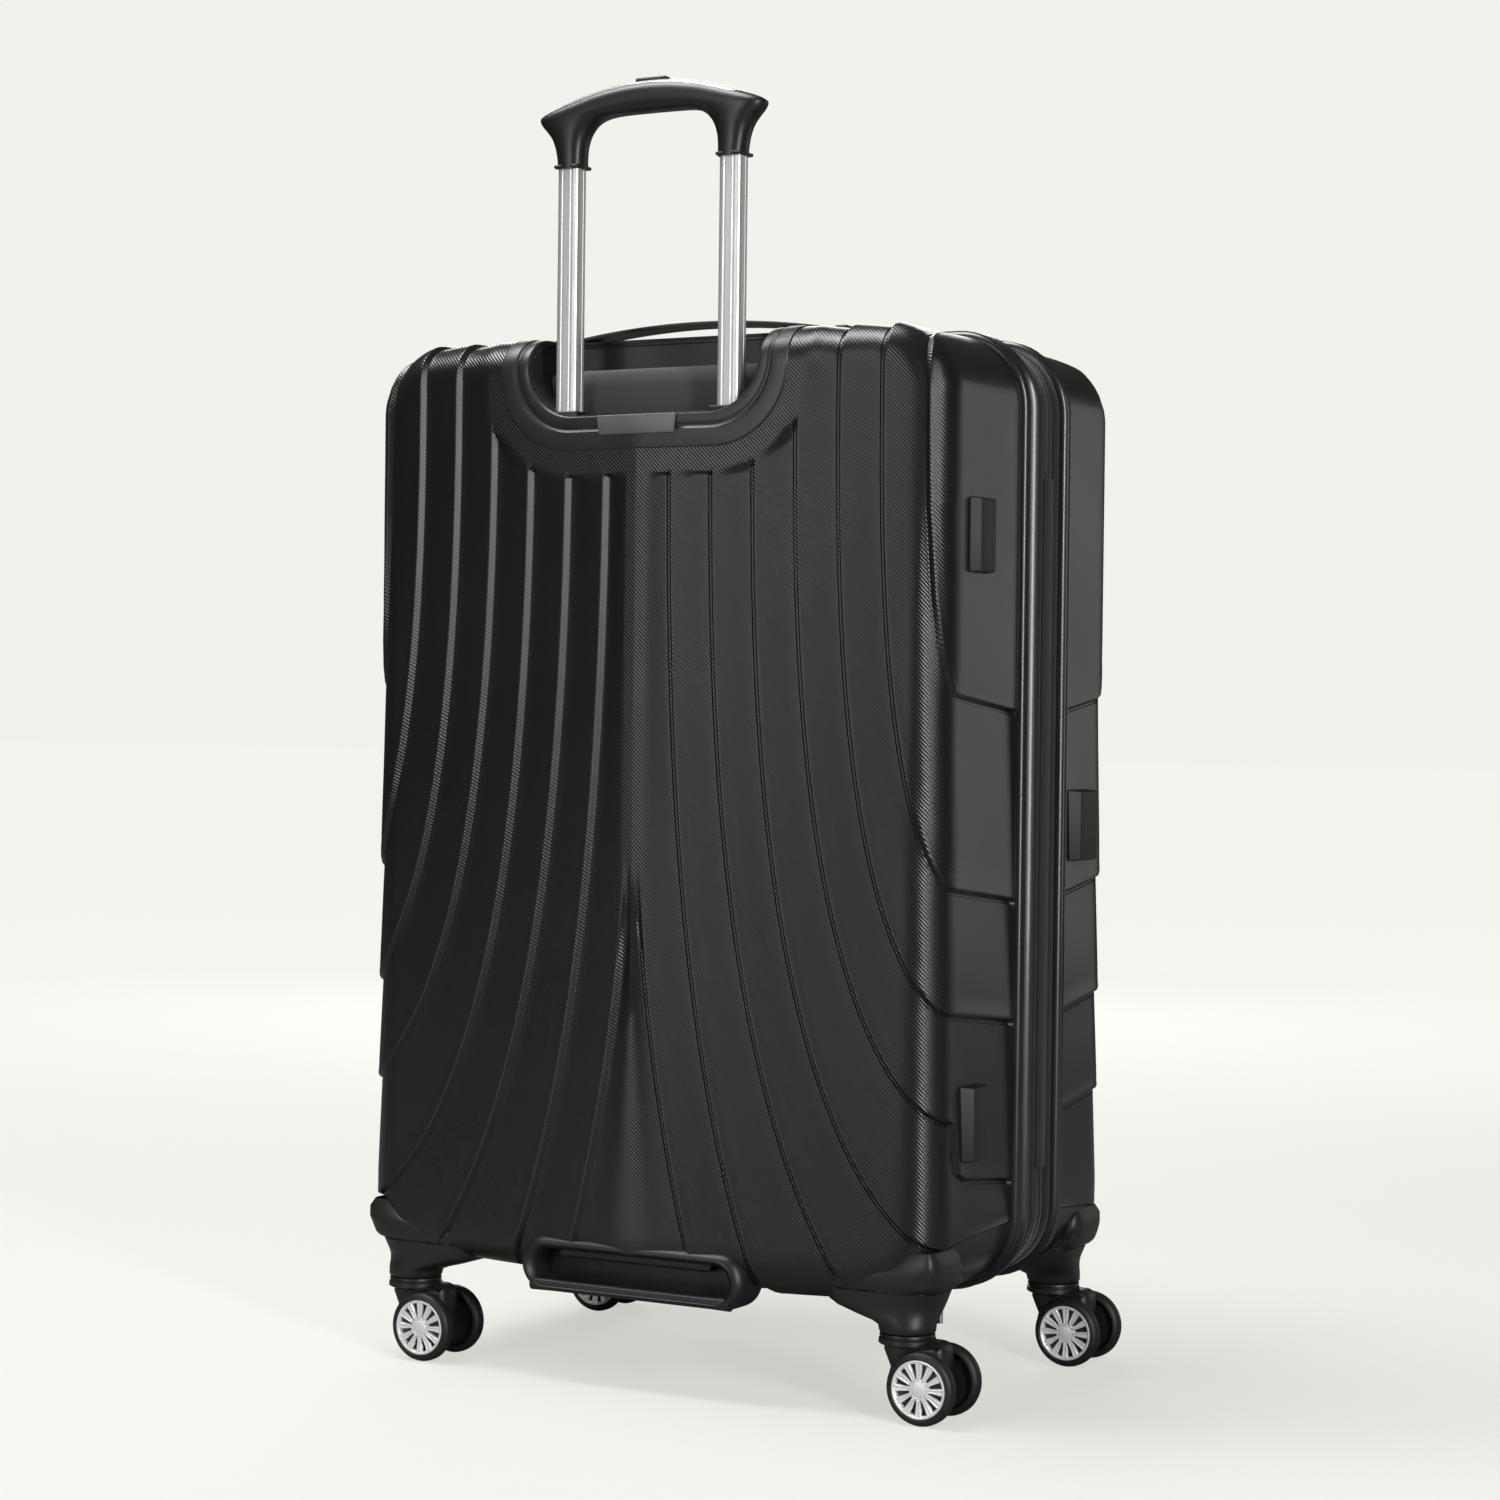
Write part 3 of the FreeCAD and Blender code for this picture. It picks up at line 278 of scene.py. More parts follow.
@dataclass(frozen=True)
class HatchedShell:
    """Polycarbonate with a fine diagonal hatch pressed into its faces and smoother sides; the hatch's ridges carry a
    painted highlight and its grooves painted shade.
    """

    slot: Slot = Slot.SHELL
    colour: Triple = (0.0062, 0.0060, 0.0058)
    roughness: float = 0.28
    pitch_mm: float = 2.1
    hatch_mm: float = 0.075
    grain_mm: float = 0.7
    grain_depth_mm: float = 0.018
    cloud_mm: float = 90.0

    def build(self) -> Material:
        """Makes the material."""
        w = Wiring("hatched_shell")
        across = FULL_TURN / (self.pitch_mm * MM * math.sqrt(2))
        uv = w.add("TexCoord").outputs["UV"]
        phase = w.add("VectorMath", {0: uv, 1: (across, across, 0.0)}, operation="DOT_PRODUCT").outputs["Value"]
        wave = w.number("SINE", phase)
        weight = w.add("Attribute", attribute_name="hatch").outputs["Fac"]
        hatch = w.number("MULTIPLY", wave, weight)
        cloud = w.noise(w.place(), self.cloud_mm)
        under = w.bump(w.noise(w.place(), self.grain_mm, 2.0), self.grain_depth_mm)
        # The base colour follows the hatch's height: lighter on its ridges and darker in its grooves, a painted
        # highlight and painted shade along the pressed relief.
        tone = w.remap(hatch, 0.0, 1.0, (-1.0, 1.0))
        glossy = w.remap(cloud, self.roughness - 0.04, self.roughness + 0.06)
        w.drive(
            Base_Color=w.ramp(tone, tint(self.colour, 0.4), tint(self.colour, 2.0), (0.1, 0.9)),
            Roughness=glossy,
            Normal=w.bump(hatch, self.hatch_mm, under),
            Specular_IOR_Level=0.5,
        )
        return w.material


@dataclass(frozen=True)
class Brushed:
    """Metal with fine brushed lines along one axis."""

    slot: Slot
    colour: Triple = (0.60, 0.60, 0.61)
    roughness: float = 0.42
    stretch: Triple = (1.0, 1.0, 0.02)
    line_mm: float = 0.35
    depth_mm: float = 0.006
    metallic: float = 1.0
    cloud_mm: float = 40.0

    def build(self) -> Material:
        """Makes the material."""
        w = Wiring(f"brushed_{self.slot.value}")
        lines = w.noise(w.place(self.stretch), self.line_mm, 4.0)
        cloud = w.noise(w.place(), self.cloud_mm)
        w.drive(
            Base_Color=w.ramp(lines, tint(self.colour, 0.9), tint(self.colour, 1.05)),
            Metallic=self.metallic,
            Roughness=w.remap(cloud, self.roughness - 0.03, self.roughness + 0.06),
            Normal=w.bump(lines, self.depth_mm),
        )
        return w.material


@dataclass(frozen=True)
class Woven:
    """Cloth or webbing, with threads that cross along two axes of the piece."""

    slot: Slot
    colour: Triple = (0.012, 0.012, 0.013)
    thread_mm: float = 0.9
    axes: tuple[int, int] = (0, 2)
    depth_mm: float = 0.12
    sheen: float = 0.25
    fuzz_mm: float = 0.6

    def build(self) -> Material:
        """Makes the material."""
        w = Wiring(f"woven_{self.slot.value}")
        weave = w.number("MULTIPLY", *w.waves(self.axes, self.thread_mm, "SINE"))
        fuzz = w.noise(w.place(), self.fuzz_mm)
        tone = w.remap(w.number("ADD", weave, fuzz), 0.0, 1.0, (-1.0, 2.0))
        w.drive(
            Base_Color=w.ramp(tone, tint(self.colour, 0.55), tint(self.colour, 1.6)),
            Roughness=0.85,
            Normal=w.bump(tone, self.depth_mm),
            Sheen_Weight=self.sheen,
            Sheen_Roughness=0.4,
        )
        return w.material


@dataclass(frozen=True)
class DottedPanel:
    """A bright satin inlay with rows of small dark grip dots towards its ends."""

    slot: Slot = Slot.SILVER_PANEL
    colour: Triple = (0.72, 0.72, 0.73)
    dot_colour: Triple = (0.03, 0.03, 0.03)
    pitch_mm: float = 2.6
    depth_mm: float = 0.25
    dots_from: Pair = (0.030, 0.040)

    def build(self) -> Material:
        """Makes the material."""
        w = Wiring("dotted_panel")
        peak = w.number("ADD", *w.waves((0, 1), self.pitch_mm, "COSINE"))
        away = w.number("ABSOLUTE", w.add("SeparateXYZ", {0: w.place()}).outputs[0])
        ends = w.remap(away, 0.0, 1.0, self.dots_from)
        dot = w.remap(peak, 0.0, 1.0, (0.9, 1.15))
        shown = w.number("MULTIPLY", dot, ends)
        w.drive(
            Base_Color=w.ramp(shown, self.colour, self.dot_colour),
            Metallic=0.55,
            Roughness=w.remap(shown, 0.24, 0.6),
            Normal=w.bump(shown, self.depth_mm),
        )
        return w.material


class Palette:
    """Every finish of the case, made once each."""

    FINISHES = (
        HatchedShell(),
        Moulded(Slot.FRAME_TRIM, (0.010, 0.010, 0.0105), 0.30, coat=0.25),
        Moulded(Slot.BEZEL, (0.013, 0.013, 0.013), 0.40, grain_depth_mm=0.02),
        Moulded(Slot.PLATE, (0.105, 0.105, 0.11), 0.38, grain_depth_mm=0.015),
        Brushed(Slot.ALUMINIUM, metallic=0.7),
        Moulded(Slot.BLACK_PLASTIC, (0.011, 0.011, 0.0115), 0.42),
        Woven(Slot.LINING, (0.035, 0.035, 0.038), 1.6, (0, 2), 0.10),
        Woven(Slot.WEBBING, (0.011, 0.011, 0.012), 1.3, (0, 2), 0.16),
        Woven(Slot.ZIP_TAPE, (0.011, 0.011, 0.0115), 1.0, (1, 2), 0.12),
        Woven(Slot.GUSSET, (0.014, 0.014, 0.015), 1.4, (1, 2), 0.14),
        Moulded(Slot.SOFT_RUBBER, (0.009, 0.009, 0.009), 0.55),
        Brushed(Slot.STEEL, (0.55, 0.55, 0.56), 0.3),
        Moulded(Slot.SATIN_GRIP, (0.010, 0.010, 0.0105), 0.38, 0.5, 0.035),
        DottedPanel(),
        Brushed(Slot.DARK_METAL, (0.10, 0.10, 0.105), 0.34),
        Moulded(Slot.TYRE, (0.010, 0.0098, 0.0095), 0.50),
        Brushed(Slot.SILVER_HUB, (0.86, 0.86, 0.87), 0.34, (1.0, 1.0, 1.0), 1.2, metallic=0.2),
        Moulded(Slot.BLACK_WHEEL, (0.010, 0.010, 0.010), 0.40),
    )

    def __init__(self) -> None:
        """Makes the materials."""
        self.materials: dict[Slot, Material] = {finish.slot: finish.build() for finish in self.FINISHES}

    def dress_frame(self) -> None:
        """Gives each carried-over node the material of its slot in the record."""
        slots = {part["node"]: part.get("material_slot") for part in frame["record"]["subparts"]}
        for name, obj in frame["nodes"].items():
            if slots.get(name):
                obj.data.materials.clear()
                obj.data.materials.append(self.materials[Slot(slots[name])])


PALETTE = Palette()


# ------------------------------------------------------------------ making meshes

def surface(columns: int, rows: int, place: Callable[[int, int], Vector], closed: bool = False) -> BMesh:
    """A sheet of quads whose points are placed one by one.

    Args:
        columns: how many quads it has along its first direction.
        rows: how many quads it has along its second direction.
        place: gives the point for a column and a row, counted from 0.
        closed: whether edges that meet are merged.

    Returns:
        The mesh.
    """
    bm = bmesh.new()
    bmesh.ops.create_grid(bm, x_segments=columns, y_segments=rows, size=1.0)
    for vert in bm.verts:
        column = round((vert.co.x + 1) * 0.5 * columns)
        row = round((vert.co.y + 1) * 0.5 * rows)
        vert.co = place(column, row)
    if closed:
        bmesh.ops.remove_doubles(bm, verts=bm.verts, dist=WELD)
    bmesh.ops.recalc_face_normals(bm, faces=bm.faces)
    return bm


def rounded_block(low: Sequence[float], high: Sequence[float], bevel: float, segments: int = 3) -> BMesh:
    """A box with rounded edges.

    Args:
        low: its lowest corner.
        high: its highest corner.
        bevel: the radius of its edges.
        segments: how many faces each rounded edge has.

    Returns:
        The mesh.
    """
    bm = bmesh.new()
    size = [top - bottom for bottom, top in zip(low, high)]
    middle = [(top + bottom) * 0.5 for bottom, top in zip(low, high)]
    bmesh.ops.create_cube(bm, size=1.0, matrix=Matrix.Translation(middle) @ Matrix.Diagonal((*size, 1.0)))
    round_edges(bm, bm.edges, bevel, segments)
    return bm


def round_edges(bm: BMesh, edges: Iterable[bmesh.types.BMEdge], radius: float, segments: int = 3) -> None:
    """Rounds some edges of a mesh.

    Args:
        bm: the mesh.
        edges: the edges to round.
        radius: their radius.
        segments: how many faces each gets.
    """
    bmesh.ops.bevel(
        bm, geom=list(edges), offset=radius, segments=segments, profile=0.5, affect="EDGES", material=-1,
        clamp_overlap=True,
    )


def turned(profile: Sequence[Pair], axis: str, centre: Sequence[float], steps: int = 48) -> BMesh:
    """A shape spun about an axis.

    Args:
        profile: radius and height of each point, from one end of the axis to the other.
        axis: the axis that it turns about, Y or Z.
        centre: a point on the axis, where the height is 0.
        steps: how many faces go round.

    Returns:
        The mesh.
    """
    bm = bmesh.new()
    along, out = {"Y": (Vector((0, 1, 0)), Vector((1, 0, 0))), "Z": (Vector((0, 0, 1)), Vector((1, 0, 0)))}[axis]
    verts = [bm.verts.new(Vector(centre) + out * radius + along * height) for radius, height in profile]
    edges = [bm.edges.new(pair) for pair in zip(verts, verts[1:])]
    bmesh.ops.spin(
        bm, geom=verts + edges, cent=centre, axis=along, angle=FULL_TURN, steps=steps, use_merge=True,
        use_duplicate=False, dvec=(0, 0, 0), space=Matrix.Identity(4), use_normal_flip=False,
    )
    bmesh.ops.remove_doubles(bm, verts=bm.verts, dist=WELD)
    bmesh.ops.recalc_face_normals(bm, faces=bm.faces)
    return bm


def merged(meshes: Iterable[BMesh]) -> BMesh:
    """Several meshes as one.

    Args:
        meshes: the meshes, which are freed.

    Returns:
        The mesh that holds them all.
    """
    whole = bmesh.new()
    for bm in meshes:
        loose = bpy.data.meshes.new("loose")
        bm.to_mesh(loose)
        bm.free()
        whole.from_mesh(loose)
        bpy.data.meshes.remove(loose)
    return whole


def moved(bm: BMesh, matrix: Matrix) -> BMesh:
    """A mesh put somewhere else.

    Args:
        bm: the mesh.
        matrix: the move; one that mirrors has its faces turned back.

    Returns:
        The same mesh.
    """
    bmesh.ops.transform(bm, matrix=matrix, verts=bm.verts)
    if matrix.determinant() < 0:
        bmesh.ops.reverse_faces(bm, faces=bm.faces)
    return bm


def face_towards(bm: BMesh, direction: Sequence[float]) -> None:
    """Turns a sheet over if it faces away from a direction.

    Args:
        bm: the sheet.
        direction: the way that it should face.
    """
    wanted = Vector(direction)
    bm.normal_update()
    if sum(face.normal.dot(wanted) * face.calc_area() for face in bm.faces) < 0:
        bmesh.ops.reverse_faces(bm, faces=bm.faces)


def thicken(bm: BMesh, inwards: float) -> None:
    """Gives a sheet a wall on the side away from its normals.

    Args:
        bm: the sheet.
        inwards: how thick the wall is.
    """
    bm.normal_update()
    rims = [loop for edge in bm.edges if edge.is_boundary for loop in edge.link_loops]
    rims = [(loop.link_loop_next.vert, loop.vert) for loop in rims]
    shifts = {vert: vert.normal * inwards for vert in bm.verts}
    outside = bm.faces[:]
    twins = bmesh.ops.duplicate(bm, geom=bm.verts[:] + bm.edges[:] + outside)
    inside = twins["vert_map"]
    for vert, shift in shifts.items():
        inside[vert].co -= shift
    bmesh.ops.reverse_faces(bm, faces=[item for item in twins["geom"] if isinstance(item, bmesh.types.BMFace)])
    for a, b in rims:
        bm.faces.new((a, b, inside[b], inside[a]))


def shallow(value: float, low: float, high: float) -> float:
    """A smooth step from 0 at low to 1 at high."""
    t = min(1.0, max(0.0, (value - low) / (high - low)))
    return t * t * (3 - 2 * t)


def make_piece(
    bm: BMesh, name: str, body: str, slot: Slot, stands_for: Sequence[str] = (), crease_deg: float = 40.0,
) -> Object:
    """Turns a mesh in millimetres into a finished piece that rides on a body.

    Args:
        bm: the mesh, which is freed.
        name: the piece's name.
        body: the body that it rides on.
        slot: the slot that it takes its finish from.
        stands_for: the nodes that it replaces.
        crease_deg: edges sharper than this stay crisp.

    Returns:
        The piece.
    """
    bmesh.ops.scale(bm, vec=(MM, MM, MM), verts=bm.verts)
    mesh = bpy.data.meshes.new(name)
    bm.to_mesh(mesh)
    bm.free()
    mesh.polygons.foreach_set("use_smooth", [True] * len(mesh.polygons))
    mesh.set_sharp_from_angle(angle=math.radians(crease_deg))
    mesh.materials.append(PALETTE.materials[slot])
    piece = bpy.data.objects.new(name, mesh)
    bpy.context.scene.collection.objects.link(piece)
    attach(piece, body)
    if stands_for:
        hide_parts(*stands_for)
    LOG.info("%s on %s: %d faces", name, body, len(mesh.polygons))
    return piece


# ------------------------------------------------------------------ outlines

@dataclass(frozen=True)
class Outline:
    """A rounded rectangle in the plane across and up."""

    half_w: float = 248.0
    low: float = 79.0
    high: float = 785.0
    radius: float = 55.0

    def stations(self, step: float, corner_steps: int) -> list[tuple[Vector, Vector]]:
        """Points round the outline.

        Args:
            step: the longest gap between points on a straight side.
            corner_steps: how many gaps each corner has.

        Returns:
            Each point with its outward direction, as (across, 0, up) vectors, the first one repeated last.
        """
        inner_w = self.half_w - self.radius
        corners = (
            (inner_w, self.high - self.radius, 90), (inner_w, self.low + self.radius, 0),
            (-inner_w, self.low + self.radius, -90), (-inner_w, self.high - self.radius, -180),
        )
        points: list[tuple[Vector, Vector]] = []
        for x, z, start in corners:
            for k in range(corner_steps + 1):
                angle = math.radians(start - 90 * k / corner_steps)
                out = Vector((math.cos(angle), 0, math.sin(angle)))
                points.append((Vector((x, 0, z)) + out * self.radius, out))
        points.append(points[0])
        filled = [points[0]]
        for (a, out_a), (b, out_b) in zip(points, points[1:]):
            gaps = max(1, math.ceil((b - a).length / step))
            filled += [(a.lerp(b, k / gaps), out_a.lerp(out_b, k / gaps).normalized()) for k in range(1, gaps + 1)]
        return filled


CASE = Outline()


def ring(profile: Sequence[Pair], step: float = 60.0, corner_steps: int = 14, outline: Outline = CASE) -> BMesh:
    """A band that follows the case's outline.

    Args:
        profile: how far out and at which Y each point of the closed section is.
        step: the longest gap along the straight sides.
        corner_steps: how many gaps each corner has.
        outline: the outline that it follows.

    Returns:
        The mesh.
    """
    stations = outline.stations(step, corner_steps)
    section = [*profile, profile[0]]

    def place(i: int, j: int) -> Vector:
        """The point of one station and one corner of the section."""
        at, out = stations[i]
        return at + out * section[j][0] + Vector((0, section[j][1], 0))

    return surface(len(stations) - 1, len(section) - 1, place, closed=True)


# ------------------------------------------------------------------ the shells

@dataclass(frozen=True)
class Contour:
    """The flat part of a shell's face, laid out with the walls folded flat around it.

    A place on the shell is (u, v): across and up on the face, and past the face's edge the
    distance along the round edge and down the wall.
    """

    half_w: float = 220.0
    low: float = 107.0
    high: float = 757.0
    corner: float = 27.0
    edge_r: float = 28.0
    face_y: float = 152.0
    ridge: float = 10.0

    @property
    def edge_arc(self) -> float:
        """The length over the round edge."""
        return self.edge_r * math.pi / 2

    @property
    def centres(self) -> Triple:
        """Where the corner arcs have their centres: across, upper and lower."""
        return self.half_w - self.corner, self.high - self.corner, self.low + self.corner

    def locate(self, u: float, v: float) -> tuple[float, float]:
        """Where a place on the right half is, seen from the contour.

        Args:
            u: across, from 0 up.
            v: up.

        Returns:
            The length along the contour from the top's middle, and the distance out of it.
        """
        cx, top, bottom = self.centres
        arc = self.corner * math.pi / 2
        if u > cx and v > top:
            angle = math.atan2(u - cx, v - top)
            return cx + self.corner * angle, math.hypot(u - cx, v - top) - self.corner
        if u > cx and v < bottom:
            angle = math.atan2(bottom - v, u - cx)
            along = cx + arc + (top - bottom) + self.corner * angle
            return along, math.hypot(u - cx, v - bottom) - self.corner
        gaps = (v - self.high, u - self.half_w, self.low - v)
        nearest = max(gaps)
        if nearest == gaps[0]:
            return u, nearest
        if nearest == gaps[1]:
            return cx + arc + (top - v), nearest
        return cx + 2 * arc + (top - bottom) + (cx - u), nearest

    def foot(self, along: float) -> tuple[Vector, Vector]:
        """A point of the contour.

        Args:
            along: the length along it from the top's middle.

        Returns:
            The point and its outward direction, as (u, v) vectors.
        """
        cx, top, bottom = self.centres
        arc = self.corner * math.pi / 2
        if along <= cx:
            return Vector((along, self.high)), Vector((0, 1))
        along -= cx
        if along <= arc:
            angle = along / self.corner
            out = Vector((math.sin(angle), math.cos(angle)))
            return Vector((cx, top)) + out * self.corner, out
        along -= arc
        if along <= top - bottom:
            return Vector((self.half_w, top - along)), Vector((1, 0))
        along -= top - bottom
        if along <= arc:
            angle = along / self.corner
            out = Vector((math.cos(angle), -math.sin(angle)))
            return Vector((cx, bottom)) + out * self.corner, out
        return Vector((cx - (along - arc), self.low)), Vector((0, -1))

    def unfold(self, along: float, out: float) -> Vector:
        """The (u, v) of a place given from the contour."""
        point, normal = self.foot(along)
        return point + normal * out

    def fold(self, u: float, v: float, height: float, side: int) -> Vector:
        """Where a place is on the folded shell.

        Args:
            u: across; negative on the left half.
            v: up.
            height: how far it stands out of the shell's surface.
            side: 1 for the back shell and -1 for the lid.

        Returns:
            The point.
        """
        along, out = self.locate(abs(u), v)
        sign = -1 if u < 0 else 1
        if out <= 0:
            rise = self.ridge * (1 - abs(u) / self.half_w)
            return Vector((u, side * (self.face_y + rise + height), v))
        point, normal = self.foot(along)
        rise = self.ridge * (1 - min(1.0, point.x / self.half_w))
        angle = min(out, self.edge_arc) / self.edge_r
        reach = (self.edge_r + height) * math.sin(angle)
        deep = self.face_y - self.edge_r + (self.edge_r + rise + height) * math.cos(angle)
        deep -= max(0.0, out - self.edge_arc)
        return Vector((sign * (point.x + normal.x * reach), side * deep, point.y + normal.y * reach))


CONTOUR = Contour()


@dataclass(frozen=True)
class Sweep:
    """One groove of the shell: it drops straight down the face, then sweeps out to the side."""

    start_u: float
    end_v: float
    straight_v: float = 750.0
    spread: float = 262.0
    drop: float = 2.7
    curl: float = 1.9
    side_fall: float = 15.0
    jog: float = 0.0

    def trail(self, reach: float) -> list[Vector]:
        """Closely spaced places along the groove, from the top rim to where it meets the rim again.

        Args:
            reach: how far out of the contour the rim is.

        Returns:
            The places.
        """
        top = CONTOUR.high + reach + 30
        places = [Vector((self.start_u, top + (self.straight_v - top) * k / 90)) for k in range(91)]
        fall = self.straight_v - self.end_v
        for k in range(1, 241):
            angle = math.pi / 2 * k / 240
            t = math.sin(angle) ** (2 / self.drop)
            open_by = max(0.0, math.cos(angle)) ** (2 / self.curl)
            places.append(Vector((self.spread - (self.spread - self.start_u) * open_by, self.straight_v - fall * t)))
        if self.end_v > CONTOUR.low:
            return self.cross_side(places, reach)
        floor_v = CONTOUR.low - 6
        kept = [place for place in places if place.y > floor_v]
        heading = (kept[-1] - kept[-4]).normalized()
        return kept + [kept[-1] + heading * 3.0 * k for k in range(1, 90)]

    def cross_side(self, places: list[Vector], reach: float) -> list[Vector]:
        """The groove's run across the side wall, after the face.

        Args:
            places: the places on the face.
            reach: how far out of the contour the rim is.

        Returns:
            All the places.
        """
        last = places[-1]
        length = CONTOUR.half_w + reach + 20 - last.x
        for k in range(1, 91):
            u = last.x + length * k / 90
            down = self.side_fall * k / 90 + self.jog * shallow(u, last.x + 1, last.x + 16)
            places.append(Vector((u, last.y - down)))
        return places


@dataclass(frozen=True)
class Stretch:
    """The rows of a shell's mesh from the top rim over the face to the far rim."""

    rim: tuple[float, ...]
    near: int
    near_step: float
    far: int
    landing: tuple[float, ...]

    def split(self, places: Sequence[Vector]) -> list[Vector]:
        """Picks one place on a trail for each row.

        Args:
            places: the trail.

        Returns:
            The place of each row.
        """
        reach = self.rim[0]
        outs = [CONTOUR.locate(p.x, p.y)[1] for p in places]
        least = min(outs)
        base = max(0.0, least + 1.5)
        scale = (reach - base) / reach
        middle = outs.index(least)

        def crossing(target: float, falling: bool) -> float:
            """The position along the trail where the distance out passes a target."""
            span = range(0, middle) if falling else range(len(outs) - 2, middle - 1, -1)
            for i in span:
                a, b = outs[i], outs[i + 1]
                if min(a, b) <= target <= max(a, b) and a != b:
                    return i + (target - a) / (b - a)
            return float(middle)

        def at(position: float) -> Vector:
            """The place at a position between two samples."""
            i = min(len(places) - 2, int(position))
            return places[i].lerp(places[i + 1], position - i)

        rows = [at(crossing(base + out * scale, True)) for out in self.rim]
        start, end = crossing(base, True), crossing(base, False)
        lengths = [0.0]
        samples = [at(start + (end - start) * k / 400) for k in range(401)]
        for a, b in zip(samples, samples[1:]):
            lengths.append(lengths[-1] + (b - a).length)
        total = lengths[-1]
        near_len = min(self.near * self.near_step, total * 0.4)
        wanted = [near_len * k / self.near for k in range(1, self.near + 1)]
        wanted += [near_len + (total - near_len) * k / self.far for k in range(1, self.far + 1)]
        cursor = 0
        for want in wanted:
            while cursor < 399 and lengths[cursor + 1] < want:
                cursor += 1
            gap = lengths[cursor + 1] - lengths[cursor] or 1.0
            rows.append(samples[cursor].lerp(samples[cursor + 1], min(1.0, max(0.0, (want - lengths[cursor]) / gap))))
        rows += [at(crossing(base + out * scale, False)) for out in self.landing]
        return rows


@dataclass(frozen=True)
class ShellHalf:
    """One ribbed shell, with grooves that fan out from its ridge, and its wall."""

    name: str
    body: str
    node: str
    side: int
    wall_to: float
    wall: float = 2.2
    weld: float = 0.02
    step_deep: float = 2.9
    collar: bool = False
    first_u: float = 27.0
    pitch: float = 34.3
    ends: tuple[float, ...] = (-84.0, 36.0, 120.0, 213.0, 289.0, 378.0, 517.0)
    groove: tuple[Pair, ...] = (
        (-4.2, -1.0), (-3.0, -1.0), (-2.4, -1.34), (-1.1, -1.34), (-0.6, -1.18), (1.3, -0.2), (1.9, 0.0), (2.8, 0.05),
        (4.6, -0.05),
    )
    panel_steps: int = 6
    side_steps: tuple[float, ...] = (
        0.025, 0.05, 0.08, 0.11, 0.145, 0.18, 0.215, 0.25, 0.29, 0.36, 0.46, 0.58, 0.72, 0.86, 1.0,
    )

    @property
    def rim_out(self) -> float:
        """How far the shell's rim is out of the contour."""
        return CONTOUR.edge_arc + CONTOUR.face_y - CONTOUR.edge_r - self.wall_to

    def stretch(self) -> Stretch:
        """The rows that suit this shell's wall."""
        rim = self.rim_out
        deep = tuple(rim - drop for drop in (0.0, 3.0, 6.0, 9.0, 12.0, 18.0, 30.0))
        rest = tuple(out for out in (80.0, 66.0, 55.0, 48.0, 43.98) if out < rim - 34)
        edge = (38.5, 33.0, 27.5, 22.0, 16.5, 11.0, 5.5, 0.0)
        rows = deep + rest + edge
        return Stretch(rows, 34, 2.5, 54, tuple(reversed(rows[:-1])))

    def trails(self) -> list[list[Vector]]:
        """The rows' places along the middle line and each groove, from the middle out."""
        stretch = self.stretch()
        reach = self.rim_out
        middle = [Vector((0, CONTOUR.high + reach + 20 - k * 3.0)) for k in range(340)]
        split = Sweep(5.0, -215.0, straight_v=395.0, drop=1.6)
        grooves = [split]
        for k, end in enumerate(self.ends):
            jog = 41.0 if self.collar and k == 3 else 0.0
            fall = -3.0 if k == 2 else 14.0
            grooves.append(Sweep(self.first_u + self.pitch * k, end, side_fall=fall, jog=jog))
        rows = [stretch.split(middle)] + [stretch.split(groove.trail(reach)) for groove in grooves]
        count = len(rows[0])
        top = CONTOUR.locate(rows[-1][0].x, rows[-1][0].y)[0] + 13
        bottom = CONTOUR.locate(rows[-1][-1].x, rows[-1][-1].y)[0] - 134
        rows.append([CONTOUR.unfold(top + (bottom - top) * k / (count - 1), reach) for k in range(count)])
        return rows

    def beside(self, trail: Sequence[Vector], row: int, offset: float) -> Vector:
        """A place beside a groove.

        Args:
            trail: the groove's places.
            row: which place.
            offset: how far it is outwards of the groove.

        Returns:
            The place.
        """
        before, after = trail[max(0, row - 1)], trail[min(len(trail) - 1, row + 1)]
        heading = (after - before).normalized()
        across = Vector((-heading.y, heading.x))
        out = CONTOUR.locate(trail[row].x, trail[row].y)[1]
        along_side = shallow(out, CONTOUR.edge_arc * 0.6, CONTOUR.edge_arc)
        if along_side > 0:
            straight = Vector((0, 1)) if across.y > abs(across.x) else Vector((1, 0))
            across = across.lerp(straight, along_side).normalized()
        place = trail[row] + across * offset
        return Vector((max(0.0, place.x), place.y))

    def between(self, a: Vector, b: Vector, part: float) -> Vector:
        """A place on a panel between two grooves.

        Args:
            a: the place on the inner groove.
            b: the place on the outer groove.
            part: how far it is from one to the other.

        Returns:
            The place, which keeps its distance from the contour on the walls.
        """
        (along_a, out_a), (along_b, out_b) = CONTOUR.locate(a.x, a.y), CONTOUR.locate(b.x, b.y)
        folded = min(1.0, max(0.0, min(out_a, out_b) / 20.0))
        flat = a.lerp(b, part)
        if folded <= 0:
            return flat
        walled = CONTOUR.unfold(along_a + (along_b - along_a) * part, out_a + (out_b - out_a) * part)
        return flat.lerp(walled, folded)

    def fade(self, place: Vector) -> float:
        """How much of the relief a place has: none on the collar and at the rim."""
        out = CONTOUR.locate(place.x, place.y)[1]
        kept = 1 - shallow(out, self.rim_out - 10, self.rim_out - 5.5)
        if self.collar:
            kept *= shallow(COLLAR.distance(place.x, place.y), 17.5, 20.0)
        return kept

